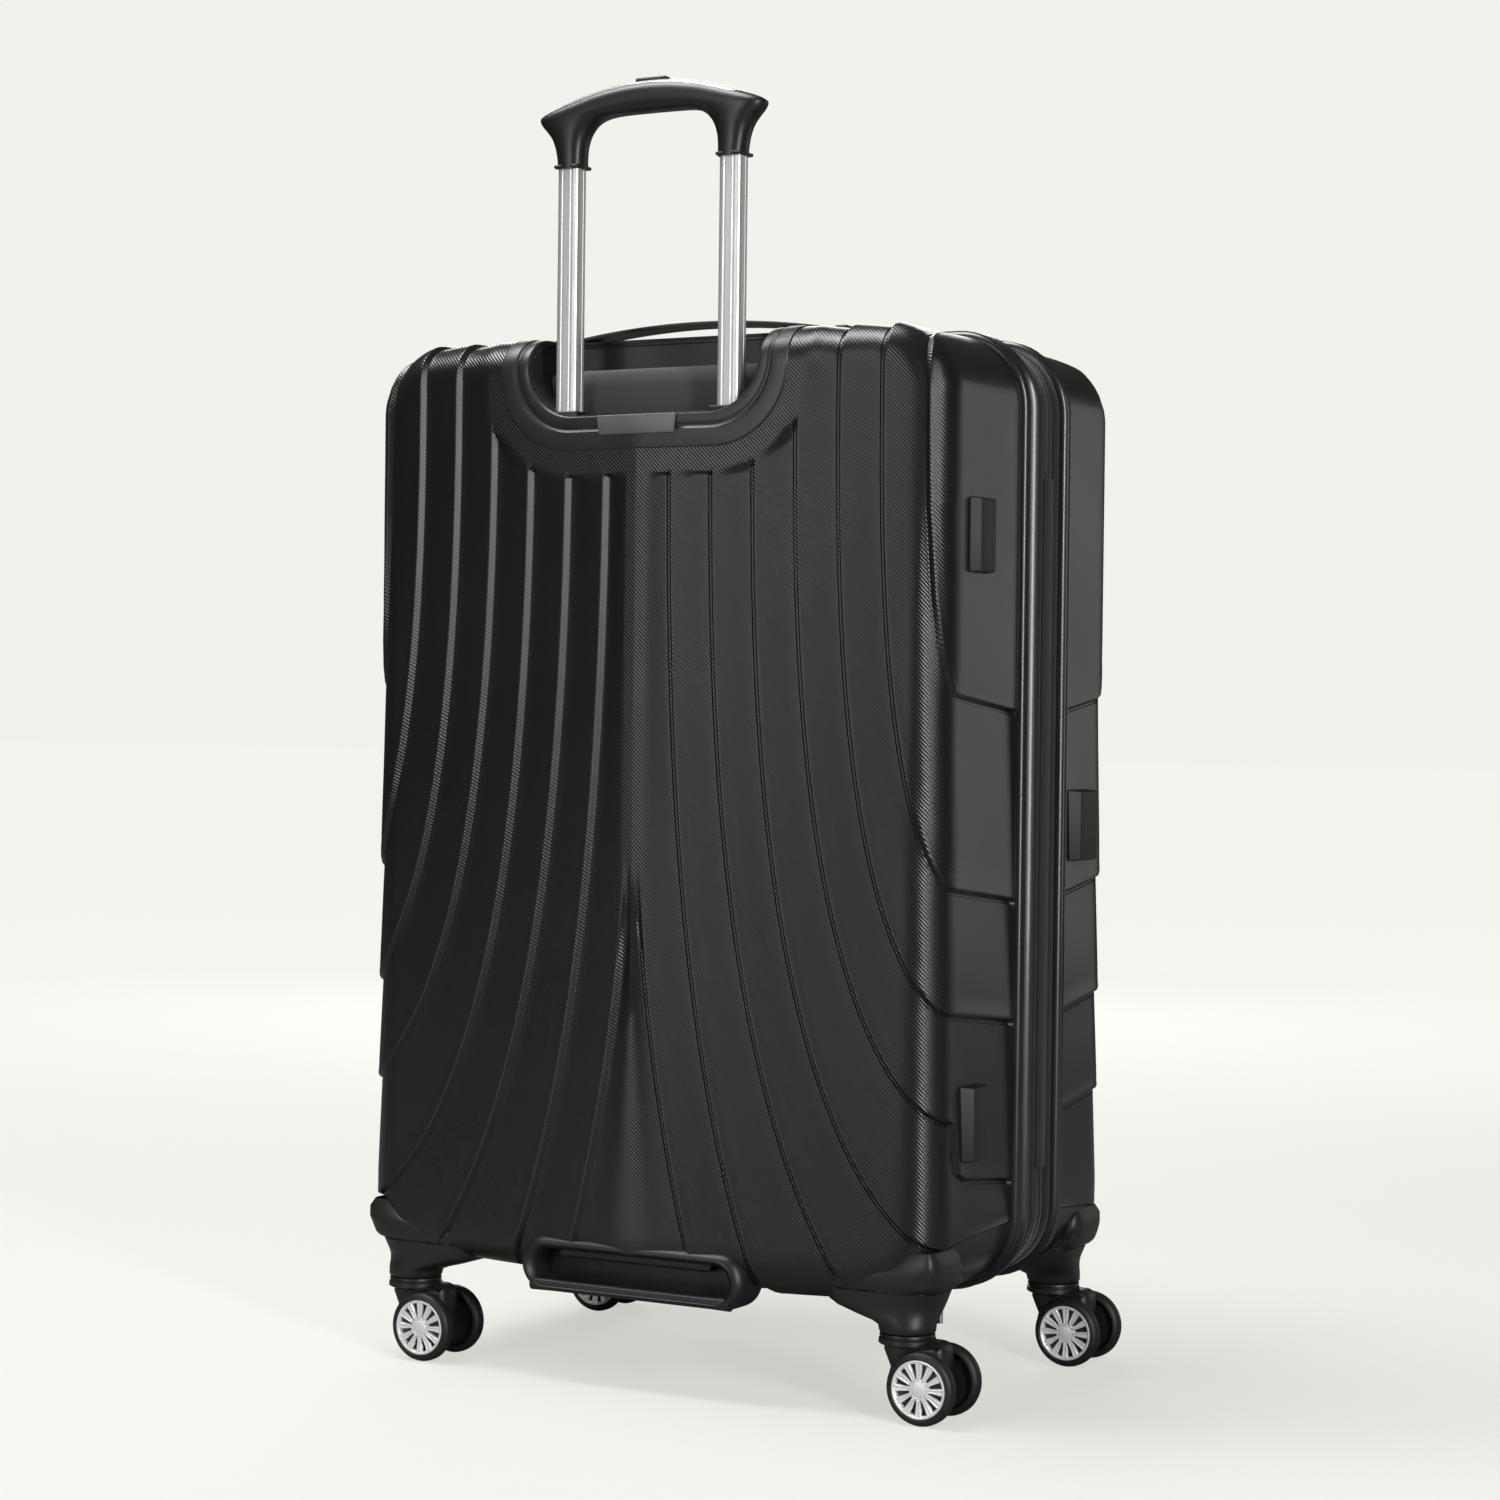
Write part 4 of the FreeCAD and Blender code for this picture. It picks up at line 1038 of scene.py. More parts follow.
    def columns(self) -> list[tuple[list[Vector], list[float]]]:
        """The right half's columns, from the middle out, each with its places and heights."""
        rows = self.trails()
        count = len(rows[0])
        deep = self.step_deep
        made: list[tuple[list[Vector], list[float]]] = [(rows[0], [0.0] * count)]
        last = [1.0] * count
        for k, trail in enumerate(rows[1:-1]):
            split_in = [1.0 - shallow(p.y, 300.0, 395.0) if k == 0 else 1.0 for p in trail]
            strip = []
            for offset, height in self.groove:
                places = [self.beside(trail, row, offset) for row in range(count)]
                strip.append((places, [height * deep * split_in[row] for row in range(count)]))
            inner, outer = made[-1][0], strip[0][0]
            steps = 2 if k == 0 else self.panel_steps
            for n in range(1, steps):
                part = n / steps
                places = [self.between(inner[row], outer[row], part) for row in range(count)]
                slope = split_in if k == 0 else last
                made.append((places, [-deep * part * slope[row] for row in range(count)]))
            made += strip
        inner, outer = made[-1][0], rows[-1]
        for part in self.side_steps:
            places = [self.between(inner[row], outer[row], part) for row in range(count)]
            made.append((places, [0.0] * count))
        return made

    def build(self) -> Object:
        """Makes the shell."""
        half = self.columns()
        rows = len(half[0][0]) - 1
        full = [(column, -1) for column in reversed(half[1:])] + [(column, 1) for column in half]
        places: list[list[Triple]] = []
        for (trail, heights), sign in full:
            places.append([(sign * p.x, p.y, h * self.fade(p)) for p, h in zip(trail, heights)])
        bm = bmesh.new()
        bmesh.ops.create_grid(bm, x_segments=len(full) - 1, y_segments=rows, size=1.0)
        uv_layer = bm.loops.layers.uv.new("UVMap")
        hatch = bm.verts.layers.float.new("hatch")
        flat: dict[bmesh.types.BMVert, tuple[float, float]] = {}
        for vert in bm.verts:
            column = round((vert.co.x + 1) * 0.5 * (len(full) - 1))
            row = round((vert.co.y + 1) * 0.5 * rows)
            u, v, height = places[column][row]
            vert.co = CONTOUR.fold(u, v, height, self.side)
            flat[vert] = (u, v)
            vert[hatch] = 1.0 - shallow(CONTOUR.locate(abs(u), v)[1], 34.0, 52.0)
        for face in bm.faces:
            for loop in face.loops:
                u, v = flat[loop.vert]
                loop[uv_layer].uv = (-u * self.side * MM, v * MM)
        self.open_up(bm, flat)
        bmesh.ops.remove_doubles(bm, verts=bm.verts, dist=self.weld)
        face_towards(bm, (0, self.side, 0))
        thicken(bm, self.wall)
        return make_piece(bm, self.name, self.body, Slot.SHELL, [self.node], crease_deg=32.0)

    def open_up(self, bm: BMesh, flat: dict[bmesh.types.BMVert, tuple[float, float]]) -> None:
        """Takes away the faces behind the bezel and the bottom grip.

        Args:
            bm: the shell's sheet.
            flat: each point's place.
        """
        if not self.collar:
            return
        gone = []
        for face in bm.faces:
            middle = sum((Vector(flat[vert]) for vert in face.verts), Vector((0, 0))) / len(face.verts)
            out = CONTOUR.locate(abs(middle.x), middle.y)[1]
            under_bezel = COLLAR.distance(abs(middle.x), middle.y) < -8 and out < 66
            under_grip = abs(middle.x) < 92 and middle.y < 100 and out < 50
            if under_bezel or under_grip:
                gone.append(face)
        bmesh.ops.delete(bm, geom=gone, context="FACES")


@dataclass(frozen=True)
class Mouth:
    """The U outline of the handle's recess, open at the top, laid out flat on the shell."""

    half_w: float = 124.0
    low: float = 697.0
    radius: float = 60.0

    def distance(self, u: float, v: float) -> float:
        """How far a place is outside the outline; negative inside."""
        across = abs(u) - (self.half_w - self.radius)
        down = self.low + self.radius - v
        if across > 0 and down > 0:
            return math.hypot(across, down) - self.radius
        return max(abs(u) - self.half_w, self.low - v)

    def run(self, high: float, arm: int, bend: int, floor: int) -> list[Pair]:
        """Places along the outline.

        Args:
            high: where its arms end.
            arm: how many gaps each arm has.
            bend: how many gaps each bend has.
            floor: how many gaps the bottom has.

        Returns:
            The places, from the left arm's end to the right arm's.
        """
        left = [(-self.half_w, high + (self.low + self.radius - high) * k / arm) for k in range(arm)]
        inner = self.half_w - self.radius
        for k in range(bend):
            angle = math.pi / 2 * k / bend
            left.append((-inner - self.radius * math.cos(angle), self.low + self.radius * (1 - math.sin(angle))))
        left += [(-inner + inner * k / (floor / 2), self.low) for k in range(floor // 2)]
        return left + [(0.0, self.low)] + [(-u, v) for u, v in reversed(left)]


COLLAR = Mouth()


@dataclass(frozen=True)
class HandleRecess:
    """The bezel round the handle's recess, the tub inside it and the blank plate below."""

    outer: Mouth = COLLAR
    inner: Mouth = Mouth(100.0, 723.0, 42.0)
    arms_to: float = 829.0
    tub_y: float = 100.0
    top_z: float = 784.0
    bezel_wall: float = 1.6
    tub_wall: float = 1.2
    tuck: float = 4.5
    tube_x: float = 70.0
    band: tuple[Pair, ...] = (
        (0.0, -4.0), (0.0, -0.6), (0.01, 0.3), (0.035, 0.8), (0.07, 0.95), (0.48, 0.9), (0.53, 0.75), (0.56, 0.2),
        (0.60, -0.5), (0.65, -0.55), (0.68, -0.2), (0.71, 0.0), (0.90, 0.1), (0.955, -0.2), (0.985, -1.0), (1.0, -2.2),
        (1.0, -5.0),
    )

    def build(self) -> None:
        """Makes the bezel, the tub and the plate."""
        steps = (16, 14, 16)
        outer = self.outer.run(self.arms_to, *steps)
        inner = self.inner.run(self.arms_to, *steps)

        def on_band(i: int, j: int) -> Vector:
            """One point of the bezel."""
            part, height = self.band[j]
            u = outer[i][0] + (inner[i][0] - outer[i][0]) * part
            v = outer[i][1] + (inner[i][1] - outer[i][1]) * part
            return CONTOUR.fold(u, v, height, 1)

        bezel = surface(len(outer) - 1, len(self.band) - 1, on_band)
        face_towards(bezel, (0, 1, 0))
        thicken(bezel, self.bezel_wall)
        make_piece(bezel, "handle_bezel", "case_back", Slot.BEZEL, ["handle_cup"], crease_deg=28.0)
        self.build_tub(inner)
        self.build_plate()

    def build_tub(self, inner: Sequence[Pair]) -> None:
        """Makes the recess's floor and walls.

        Args:
            inner: the places of the bezel's inner edge.
        """
        limit = CONTOUR.high + CONTOUR.edge_arc
        edge = [CONTOUR.fold(u, v, -self.tuck, 1) for u, v in inner if v <= limit]

        def on_wall(i: int, j: int) -> Vector:
            """One point of the wall, from the bezel in."""
            start = edge[i]
            return Vector((start.x, start.y + (self.tub_y - start.y) * j / 4, start.z))

        def floor_z(x: float) -> float:
            """The height of the recess's lower edge."""
            past = abs(x) - (self.inner.half_w - self.inner.radius)
            if past <= 0:
                return edge[len(edge) // 2].z
            radius = self.inner.radius
            return edge[len(edge) // 2].z + radius - math.sqrt(max(0.0, radius * radius - past * past))

        def on_panel(i: int, j: int) -> Vector:
            """One point of the panel at the front of the recess."""
            x = self.inner.half_w * math.sin(math.pi * (i / 48 - 0.5))
            low = floor_z(x)
            return Vector((x, self.tub_y, low + (self.top_z - low) * j / 6))

        walls = surface(len(edge) - 1, 4, on_wall)
        panel = surface(48, 6, on_panel)
        lip = rounded_block((-101, 95.5, 780), (101, 100.6, 784.8), 1.2)
        tub = merged([walls, panel])
        thicken(tub, self.tub_wall)
        make_piece(merged([tub, lip]), "handle_recess", "case_back", Slot.BEZEL, crease_deg=35.0)
        collars = []
        for side in SIDES:
            x = self.tube_x * side
            collars.append(rounded_block((x - 13, 133.5, 719), (x + 13, 155.5, 727.6), 1.4))
        make_piece(merged(collars), "tube_collars", "case_back", Slot.BLACK_PLASTIC)

    def build_plate(self) -> None:
        """Makes the blank plate on the bezel."""
        plate = rounded_block((-33, 160.6, 708), (33, 163.6, 722.5), 0.9, 3)
        for vert in plate.verts:
            vert.co.x *= 1.0 + 0.0035 * (vert.co.z - 715)
        make_piece(plate, "blank_plate", "case_back", Slot.PLATE, ["nameplate"])


# ------------------------------------------------------------------ the handle

@dataclass(frozen=True)
class TrolleyHandle:
    """The two aluminium tubes, the sculpted grip, its bright inlay and the release button."""

    tube_x: float = 70.0
    tube_y: float = 144.0
    tube_half_w: float = 9.0
    tube_half_d: float = 7.0
    tube_low: float = 305.0
    tube_high: float = 944.0
    arc_r: float = 224.8
    top: float = 970.0
    depth: float = 13.0
    foot_depth: float = 10.4
    squareness: float = 0.80
    rim_z: Pair = (909.6, 912.4)
    inlay_reach: float = 86.0
    inlay_wall: float = 1.6
    outer_line: tuple[Pair, ...] = (
        (80.2, 909.6), (81.0, 917.0), (82.6, 925.0), (85.6, 932.5), (90.4, 938.4), (94.8, 943.0), (96.9, 947.4),
        (93.6, 950.8), (84.0, 954.6), (68.0, 959.4), (46.0, 965.2), (22.0, 968.9), (0.0, 970.0),
    )
    inner_line: tuple[Pair, ...] = (
        (58.5, 909.6), (58.4, 917.0), (57.8, 925.0), (55.6, 932.5), (51.9, 938.3), (47.3, 942.4), (42.0, 944.9),
        (36.5, 946.2), (31.0, 946.8), (25.0, 947.0), (17.0, 947.0), (8.0, 947.0), (0.0, 947.0),
    )

    def build(self) -> None:
        """Makes the handle."""
        self.build_tubes()
        self.build_grip()
        self.build_inlay()
        self.build_button()

    def tube_section(self) -> list[Pair]:
        """Half of a tube's outline with its shallow flutes, mirrored to the whole."""
        w, d = self.tube_half_w, self.tube_half_d
        quarter = [
            (0.0, d), (2.6, d), (3.1, d - 0.45), (4.1, d - 0.45), (4.6, d), (6.2, d), (7.6, d - 0.4), (8.6, d - 1.4),
            (w, d - 2.8), (w, 2.0), (w - 0.3, 1.6), (w - 0.3, 0.0),
        ]
        right = quarter + [(x, -y) for x, y in reversed(quarter[:-1])]
        return right + [(-x, y) for x, y in reversed(right[1:-1])]

    def build_tubes(self) -> None:
        """Makes the tubes and the small spring pin in each."""
        section = self.tube_section()
        section.append(section[0])
        levels = (self.tube_low, 500.0, 700.0, 906.0, self.tube_high)
        meshes = []
        for side in SIDES:
            tube = surface(
                len(section) - 1, len(levels) - 1,
                lambda i, j: Vector((self.tube_x * side + section[i][0], self.tube_y + section[i][1], levels[j])),
                closed=True,
            )
            meshes.append(tube)
            profile = ((0.0, 0.45), (0.8, 0.42), (1.15, 0.1), (1.35, 0.0), (1.6, 0.35), (2.0, 0.3), (2.2, -0.3))
            meshes.append(turned(profile, "Y", (self.tube_x * side, self.tube_y + self.tube_half_d - 0.4, 897.0), 20))
        make_piece(merged(meshes), "handle_tubes", "trolley_handle", Slot.ALUMINIUM, ["inner_tubes"], crease_deg=22.0)

    @staticmethod
    def smooth_line(points: Sequence[Pair], gaps: int) -> list[Vector]:
        """A smooth line through a few points.

        Args:
            points: the points.
            gaps: how many steps there are between two of them.

        Returns:
            The places along the line.
        """
        knots = [Vector(p) for p in points]
        knots = [knots[0] * 2 - knots[1], *knots, knots[-1] * 2 - knots[-2]]
        line = []
        for a, b, c, d in zip(knots, knots[1:], knots[2:], knots[3:]):
            for k in range(gaps):
                t = k / gaps
                bend = (2 * a - 5 * b + 4 * c - d) * t * t + (3 * b - a - 3 * c + d) * t ** 3
                line.append((2 * b + (c - a) * t + bend) * 0.5)
        return [*line, knots[-2]]

    def build_grip(self) -> None:
        """Makes the grip as one rounded section that runs from sleeve to sleeve."""
        outer = self.smooth_line(self.outer_line, 4)
        inner = self.smooth_line(self.inner_line, 4)
        pairs = [(a, b, -1) for a, b in zip(outer, inner)]
        pairs += [(a, b, 1) for a, b in reversed(list(zip(outer, inner))[:-1])]
        around = 28

        def place(i: int, j: int) -> Vector:
            """One point of the grip's skin."""
            out, inn, side = pairs[i]
            angle = FULL_TURN * j / around
            lengthwise = math.copysign(abs(math.cos(angle)) ** self.squareness, math.cos(angle))
            across = math.copysign(abs(math.sin(angle)) ** self.squareness, math.sin(angle))
            middle, half = (out + inn) * 0.5, (out - inn) * 0.5
            at = middle + half * lengthwise
            part = min(1.0, max(0.0, (out.y - 909.0) / 40.0))
            deep = self.foot_depth + (self.depth - self.foot_depth) * shallow(part, 0.2, 1.0)
            return Vector((at.x * side, self.tube_y + deep * across, at.y))

        grip = surface(len(pairs) - 1, around, place, closed=True)
        rims = []
        for side in SIDES:
            x, y = self.tube_x * side, self.tube_y
            rims.append(rounded_block((x - 11.0, y - 10.2, self.rim_z[0]), (x + 10.4, y + 10.2, self.rim_z[1]), 1.2))
        whole = merged([grip, *rims])
        make_piece(whole, "handle_grip_shell", "trolley_handle", Slot.SATIN_GRIP, ["handle_grip"], crease_deg=50.0)

    def arc_z(self, x: float) -> float:
        """The height of the grip's top line."""
        return self.top - self.arc_r + math.sqrt(self.arc_r ** 2 - x * x)

    def build_inlay(self) -> None:
        """Makes the bright inlay on top of the grip."""
        columns, rows, reach = 64, 10, self.inlay_reach

        def place(i: int, j: int) -> Vector:
            """One point of the inlay's upper face."""
            x = -reach + 2 * reach * i / columns
            end = abs(x) / reach
            half = 9.0 * (1 - max(0.0, (end - 0.80) / 0.2) ** 2.2 * 0.75)
            part = -1 + 2 * j / rows
            crown = 1.9 * abs(part) ** 2.2 + 1.2 * max(0.0, abs(part) - 0.85) / 0.15
            return Vector((x, self.tube_y + half * part, self.arc_z(x) + 0.75 - crown))

        inlay = surface(columns, rows, place)
        face_towards(inlay, (0, 0, 1))
        thicken(inlay, self.inlay_wall)
        make_piece(inlay, "handle_inlay", "trolley_handle", Slot.SILVER_PANEL, ["grip_top_panel"])

    def build_button(self) -> None:
        """Makes the release button."""
        half_l, middle_z = 13.2, 965
        button = rounded_block((-half_l, 139.6, 958.0), (half_l, 148.4, 973.8), 1.6, 4)
        for vert in button.verts:
            if vert.co.z > middle_z:
                vert.co.z -= 0.9 * (vert.co.x / half_l) ** 2
        make_piece(button, "handle_button", "button", Slot.BLACK_PLASTIC, ["release_button"])


# ------------------------------------------------------------------ frames, zippers and cloth

@dataclass(frozen=True)
class Middle:
    """The bands between the two shells: frames, zippers, the expansion cloth and the hinge strip."""

    back_frame: tuple[Pair, ...] = (
        (-9.5, 2.4), (0.6, 2.2), (2.4, 3.0), (4.2, 4.6), (4.95, 6.6), (4.7, 8.6), (3.2, 10.0), (1.6, 11.0), (1.2, 13.2),
        (1.5, 15.6), (3.6, 17.0), (4.6, 18.4), (4.8, 20.2), (3.9, 22.2), (2.2, 23.6), (0.7, 24.2), (-1.2, 24.4),
        (-9.5, 24.2),
    )
    front_frame: tuple[Pair, ...] = (
        (-9.5, -45.3), (1.2, -45.3), (3.4, -46.4), (4.7, -48.2), (4.9, -50.4), (4.2, -52.4), (2.6, -54.0), (2.3, -55.6),
        (3.2, -57.0), (3.1, -58.6), (1.9, -59.8), (0.4, -60.3), (-1.2, -60.4), (-9.5, -60.2),
    )
    cloth: tuple[Pair, ...] = (
        (-10.7, -26.2), (-11.0, -8.0), (-10.7, 4.0), (-11.0, 18.0), (-10.7, 33.6), (-12.4, 33.6), (-12.4, -23.2),
        (-5.4, -23.2), (-5.4, -26.2),
    )
    moving_span: Pair = (-33.6, -17.6)

    def build(self) -> None:
        """Makes the bands."""
        make_piece(ring(self.back_frame), "back_frame_beads", "case_back", Slot.FRAME_TRIM, ["back_frame"], 30.0)
        make_piece(ring(self.front_frame), "front_frame_bead", "lid", Slot.FRAME_TRIM, ["front_frame"], 30.0)
        self.tape("expansion_tape", "case_back", "expansion_zipper", (-16.5, 1.8), -11.6)
        self.tape("front_tape", "lid", "main_zipper_front_half", (-45.1, -34.3), -36.3)
        self.build_moving_tape()
        make_piece(ring(self.cloth), "expansion_cloth", "expansion_band", Slot.GUSSET, ["expansion_gusset"], 30.0)

    def tape(self, name: str, body: str, node: str, span: Pair, coil_y: float) -> None:
        """Makes one zipper half: a flat tape with a coil sewn along it.

        Args:
            name: the piece's name.
            body: the body that it rides on.
            node: the node that it replaces.
            span: the tape's two edges along Y.
            coil_y: where the coil runs.
        """
        low, high = span
        section = (
            (-4.8, low), (-1.0, low), (-0.55, low + 0.5), (-0.7, low + 3.0), (-0.45, low + 3.4), (-0.7, low + 3.8),
            (-0.75, high - 3.4), (-0.5, high - 3.0), (-0.75, high - 2.6), (-0.6, high - 0.4), (-1.0, high),
            (-4.8, high),
        )
        meshes = [ring(section), coil(coil_y - 1.3, 0.0), coil(coil_y + 1.3, 0.5)]
        make_piece(merged(meshes), name, body, Slot.ZIP_TAPE, [node], 45.0)

    def build_moving_tape(self) -> None:
        """Makes the band between the zippers and the plain strip that hinges the lid."""
        low, high = self.moving_span
        section = (
            (-4.8, low), (-1.2, low), (-0.8, low + 0.6), (-0.9, low + 5.0), (-0.5, low + 5.5), (-0.9, low + 6.0),
            (-0.9, high - 3.2), (-0.5, high - 2.8), (-0.9, high - 2.4), (-0.8, high - 0.4), (-1.2, high), (-4.8, high),
        )
        meshes = [ring(section), coil(low + 2.2, 0.25)]
        make_piece(merged(meshes), "moving_tape", "expansion_band", Slot.ZIP_TAPE, ["main_zipper_back_half"], 45.0)
        strip = rounded_block((-248.3, -33.7, 165.0), (-243.6, -17.5, 681.0), 0.5, 2)
        make_piece(strip, "hinge_strip", "expansion_band", Slot.WEBBING, ["hinge_tape"])


def coil(y: float, phase: float, pitch: float = 2.2) -> BMesh:
    """A zipper's coil, as a row of rounded teeth that follows the case.

    Args:
        y: where it runs.
        phase: how far its teeth are shifted, in pitches.
        pitch: the gap between teeth.

    Returns:
        The mesh.
    """
    stations = CASE.stations(pitch / 2, 80)
    count = len(stations) - 1
    section = ((-1.1, -0.95), (-0.3, -0.8), (0.0, 0.0), (-0.3, 0.8), (-1.1, 0.95))

    def place(i: int, j: int) -> Vector:
        """One point of the coil."""
        at, out = stations[i]
        low = (i + round(phase * 2)) % 2 and i not in (0, count)
        height, across = section[j]
        if low:
            height, across = height * 1.0 - 0.38 * (1.1 + height), across * 0.72
        return at + out * (height + 0.25) + Vector((0, y + across, 0))

    return surface(count, len(section) - 1, place, closed=True)


# ------------------------------------------------------------------ fittings on the shells

NO_STATIONS_BETWEEN = 1e6


def loft(outer: Outline, inner: Outline, section: Sequence[Pair], corner_steps: int = 10) -> BMesh:
    """A rounded rim between two outlines.

    Args:
        outer: the outline that it starts on.
        inner: the outline that it ends on.
        section: for each point, how far it is from one outline to the other, and its Y.
        corner_steps: how many gaps each corner has.

    Returns:
        The mesh.
    """
    starts = outer.stations(NO_STATIONS_BETWEEN, corner_steps)
    ends = inner.stations(NO_STATIONS_BETWEEN, corner_steps)

    def place(i: int, j: int) -> Vector:
        """One point of the rim."""
        part, y = section[j]
        flat = starts[i][0].lerp(ends[i][0], part)
        return Vector((flat.x, y, flat.z))

    return surface(len(starts) - 1, len(section) - 1, place, closed=True)


@dataclass(frozen=True)
class BottomGrip:
    """The moulded finger grip under the case's back edge, with its bar."""

    section: tuple[Pair, ...] = (
        (0.0, 131.0), (0.0, 146.0), (0.04, 151.5), (0.16, 156.8), (0.36, 160.6), (0.6, 161.8), (0.82, 159.6),
        (0.96, 154.4), (1.0, 148.0), (1.0, 138.0),
    )
    bar_line: tuple[Pair, ...] = ((0.0, -86.0), (5.0, -86.0), (4.4, -60.0), (4.4, 60.0), (5.0, 86.0), (0.0, 86.0))
    bar_at: Triple = (0, 156.8, 72.2)

    def build(self) -> None:
        """Makes the grip."""
        rim = loft(Outline(98.0, 66.2, 110.0, 21.9), Outline(84.0, 74.5, 98.5, 12.0), self.section)
        bar = turned(self.bar_line, "Z", (0, 0, 0), 20)
        moved(bar, Matrix.Translation(self.bar_at) @ Matrix.Rotation(math.pi / 2, 4, "Y"))
        back = rounded_block((-86.0, 132.0, 73.0), (86.0, 138.6, 104.0), 2.0)
        roof = rounded_block((-66.0, 134.0, 93.0), (66.0, 153.0, 103.0), 3.0)
        whole = merged([rim, bar, back, roof])
        make_piece(whole, "bottom_finger_grip", "case_back", Slot.BLACK_PLASTIC, ["bottom_grip"], 45.0)


@dataclass(frozen=True)
class SideFeet:
    """Blocks on the hinge side that the case lies on."""

    out_x: float = -254.8
    in_x: float = -243.0
    heights: Pair = (633.0, 210.0)
    half_l: float = 28.0
    chamfer: float = 1.6

    def block(self, y: Pair, z: Pair, ramp_to: float) -> BMesh:
        """One foot with a sloping flank.

        Args:
            y: its two edges along Y.
            z: its two ends.
            ramp_to: the Y at which its slope reaches the outer face.

        Returns:
            The mesh.
        """
        bm = bmesh.new()
        middle = Vector(((self.out_x + self.in_x) / 2, sum(y) / 2, sum(z) / 2))
        size = (self.in_x - self.out_x, y[1] - y[0], z[1] - z[0], 1.0)
        bmesh.ops.create_cube(bm, size=1.0, matrix=Matrix.Translation(middle) @ Matrix.Diagonal(size))
        for vert in bm.verts:
            outside = vert.co.x < middle.x
            if outside and (vert.co.y > middle.y) == (ramp_to > middle.y):
                vert.co.y = ramp_to
            if outside:
                vert.co.z += self.chamfer if vert.co.z < middle.z else -self.chamfer
        round_edges(bm, bm.edges, 1.3, 3)
        return bm

    def build(self) -> None:
        """Makes the feet."""
        back = [self.block((79.0, 112.0), (z - self.half_l, z + self.half_l), 103.0) for z in self.heights]
        ridges = [rounded_block((-255.0, 84.0, z - 20), (-254.2, 85.2, z + 20), 0.3, 1) for z in self.heights]
        make_piece(merged(back + ridges), "side_feet_pair", "case_back", Slot.SOFT_RUBBER, ["side_feet_back"])
        lid = self.block((-109.0, -70.0), (392.0, 448.0), -79.0)
        make_piece(lid, "side_foot_lid", "lid", Slot.SOFT_RUBBER, ["side_foot_front"])


@dataclass(frozen=True)
class CarryHandle:
    """A low arched strap between two anchors on one face of the case."""

    name: str
    body: str
    at: Triple
    tilt_deg: float
    half_l: float = 117.0
    half_w: float = 13.0
    thick: float = 3.5
    rise: float = 15.6
    arc_r: float = 693.6
    head: tuple[Pair, ...] = ((0.0, 7.0), (1.2, 7.0), (1.5, 6.6), (2.2, 6.6), (2.4, 7.0), (3.0, 6.9), (3.2, 6.0))

    def build(self) -> None:
        """Makes the strap and its anchors."""
        place = Matrix.Translation(self.at) @ Matrix.Rotation(math.radians(self.tilt_deg), 4, "Y")
        strap = moved(self.strap(), place)
        make_piece(strap, f"{self.name}_strap", self.body, Slot.SOFT_RUBBER, [f"{self.name}_carry_handle"], 45.0)
        anchors = moved(merged([self.anchor(end) for end in SIDES]), place)
        stands_for = [f"{self.name}_handle_anchors"]
        make_piece(anchors, f"{self.name}_anchor_pair", "case_back", Slot.BLACK_PLASTIC, stands_for)

    def strap(self) -> BMesh:
        """The strap's skin, with a stitched edge on each side of a padded middle."""
        columns = 60
        section = [
            (-13.0, 0.3), (-12.7, 0.75), (-11.6, 0.95), (-10.4, 0.7), (-9.6, 0.95), (-5.0, 1.0), (5.0, 1.0),
            (9.6, 0.95), (10.4, 0.7), (11.6, 0.95), (12.7, 0.75), (13.0, 0.3), (12.7, 0.05), (11.0, 0.0),
            (-11.0, 0.0), (-12.7, 0.05),
        ]
        section.append(section[0])

        def place(i: int, j: int) -> Vector:
            """One point of the strap."""
            x = -self.half_l + 2 * self.half_l * i / columns
            across, up = section[j]
            top = self.rise - self.arc_r + math.sqrt(self.arc_r ** 2 - x * x)
            return Vector((x, across, top - self.thick * (1 - up)))

        meshes = [surface(columns, len(section) - 1, place, closed=True)]
        for end in SIDES:
            leg = sorted(((self.half_l - 4.0) * end, self.half_l * end))
            meshes.append(rounded_block((leg[0], -self.half_w, -18.8), (leg[1], self.half_w, 4.6), 1.0))
            stop = sorted(((self.half_l - 6.8) * end, (self.half_l + 2.8) * end))
            meshes.append(rounded_block((stop[0], -self.half_w, -18.8), (stop[1], self.half_w, -16.2), 0.8))
        return merged(meshes)

    def anchor(self, end: int) -> BMesh:
        """One anchor pad, open towards the strap.

        Args:
            end: -1 for the low end and 1 for the high end.

        Returns:
            The mesh.
        """
        middle = (self.half_l - 2.0) * end
        outer = sorted(((self.half_l + 0.8) * end, middle + 13.0 * end))
        base = sorted((middle - 13.0 * end, middle + 13.0 * end))
        parts = [
            rounded_block((outer[0], -15.8, 0.0), (outer[1], 15.8, 6.9), 1.8),
            rounded_block((base[0], -16.0, -0.6), (base[1], -13.7, 6.2), 0.9),
            rounded_block((base[0], 13.7, -0.6), (base[1], 16.0, 6.2), 0.9),
        ]
        floor_x = sorted((middle - 13.0 * end, (self.half_l - 4.8) * end))
        parts.append(rounded_block((floor_x[0], -15.0, -0.5), (floor_x[1], 15.0, 1.9), 0.6))
        head = turned(self.head, "Z", ((self.half_l + 6.0) * end, 0, 0), 20)
        return merged([*parts, head])


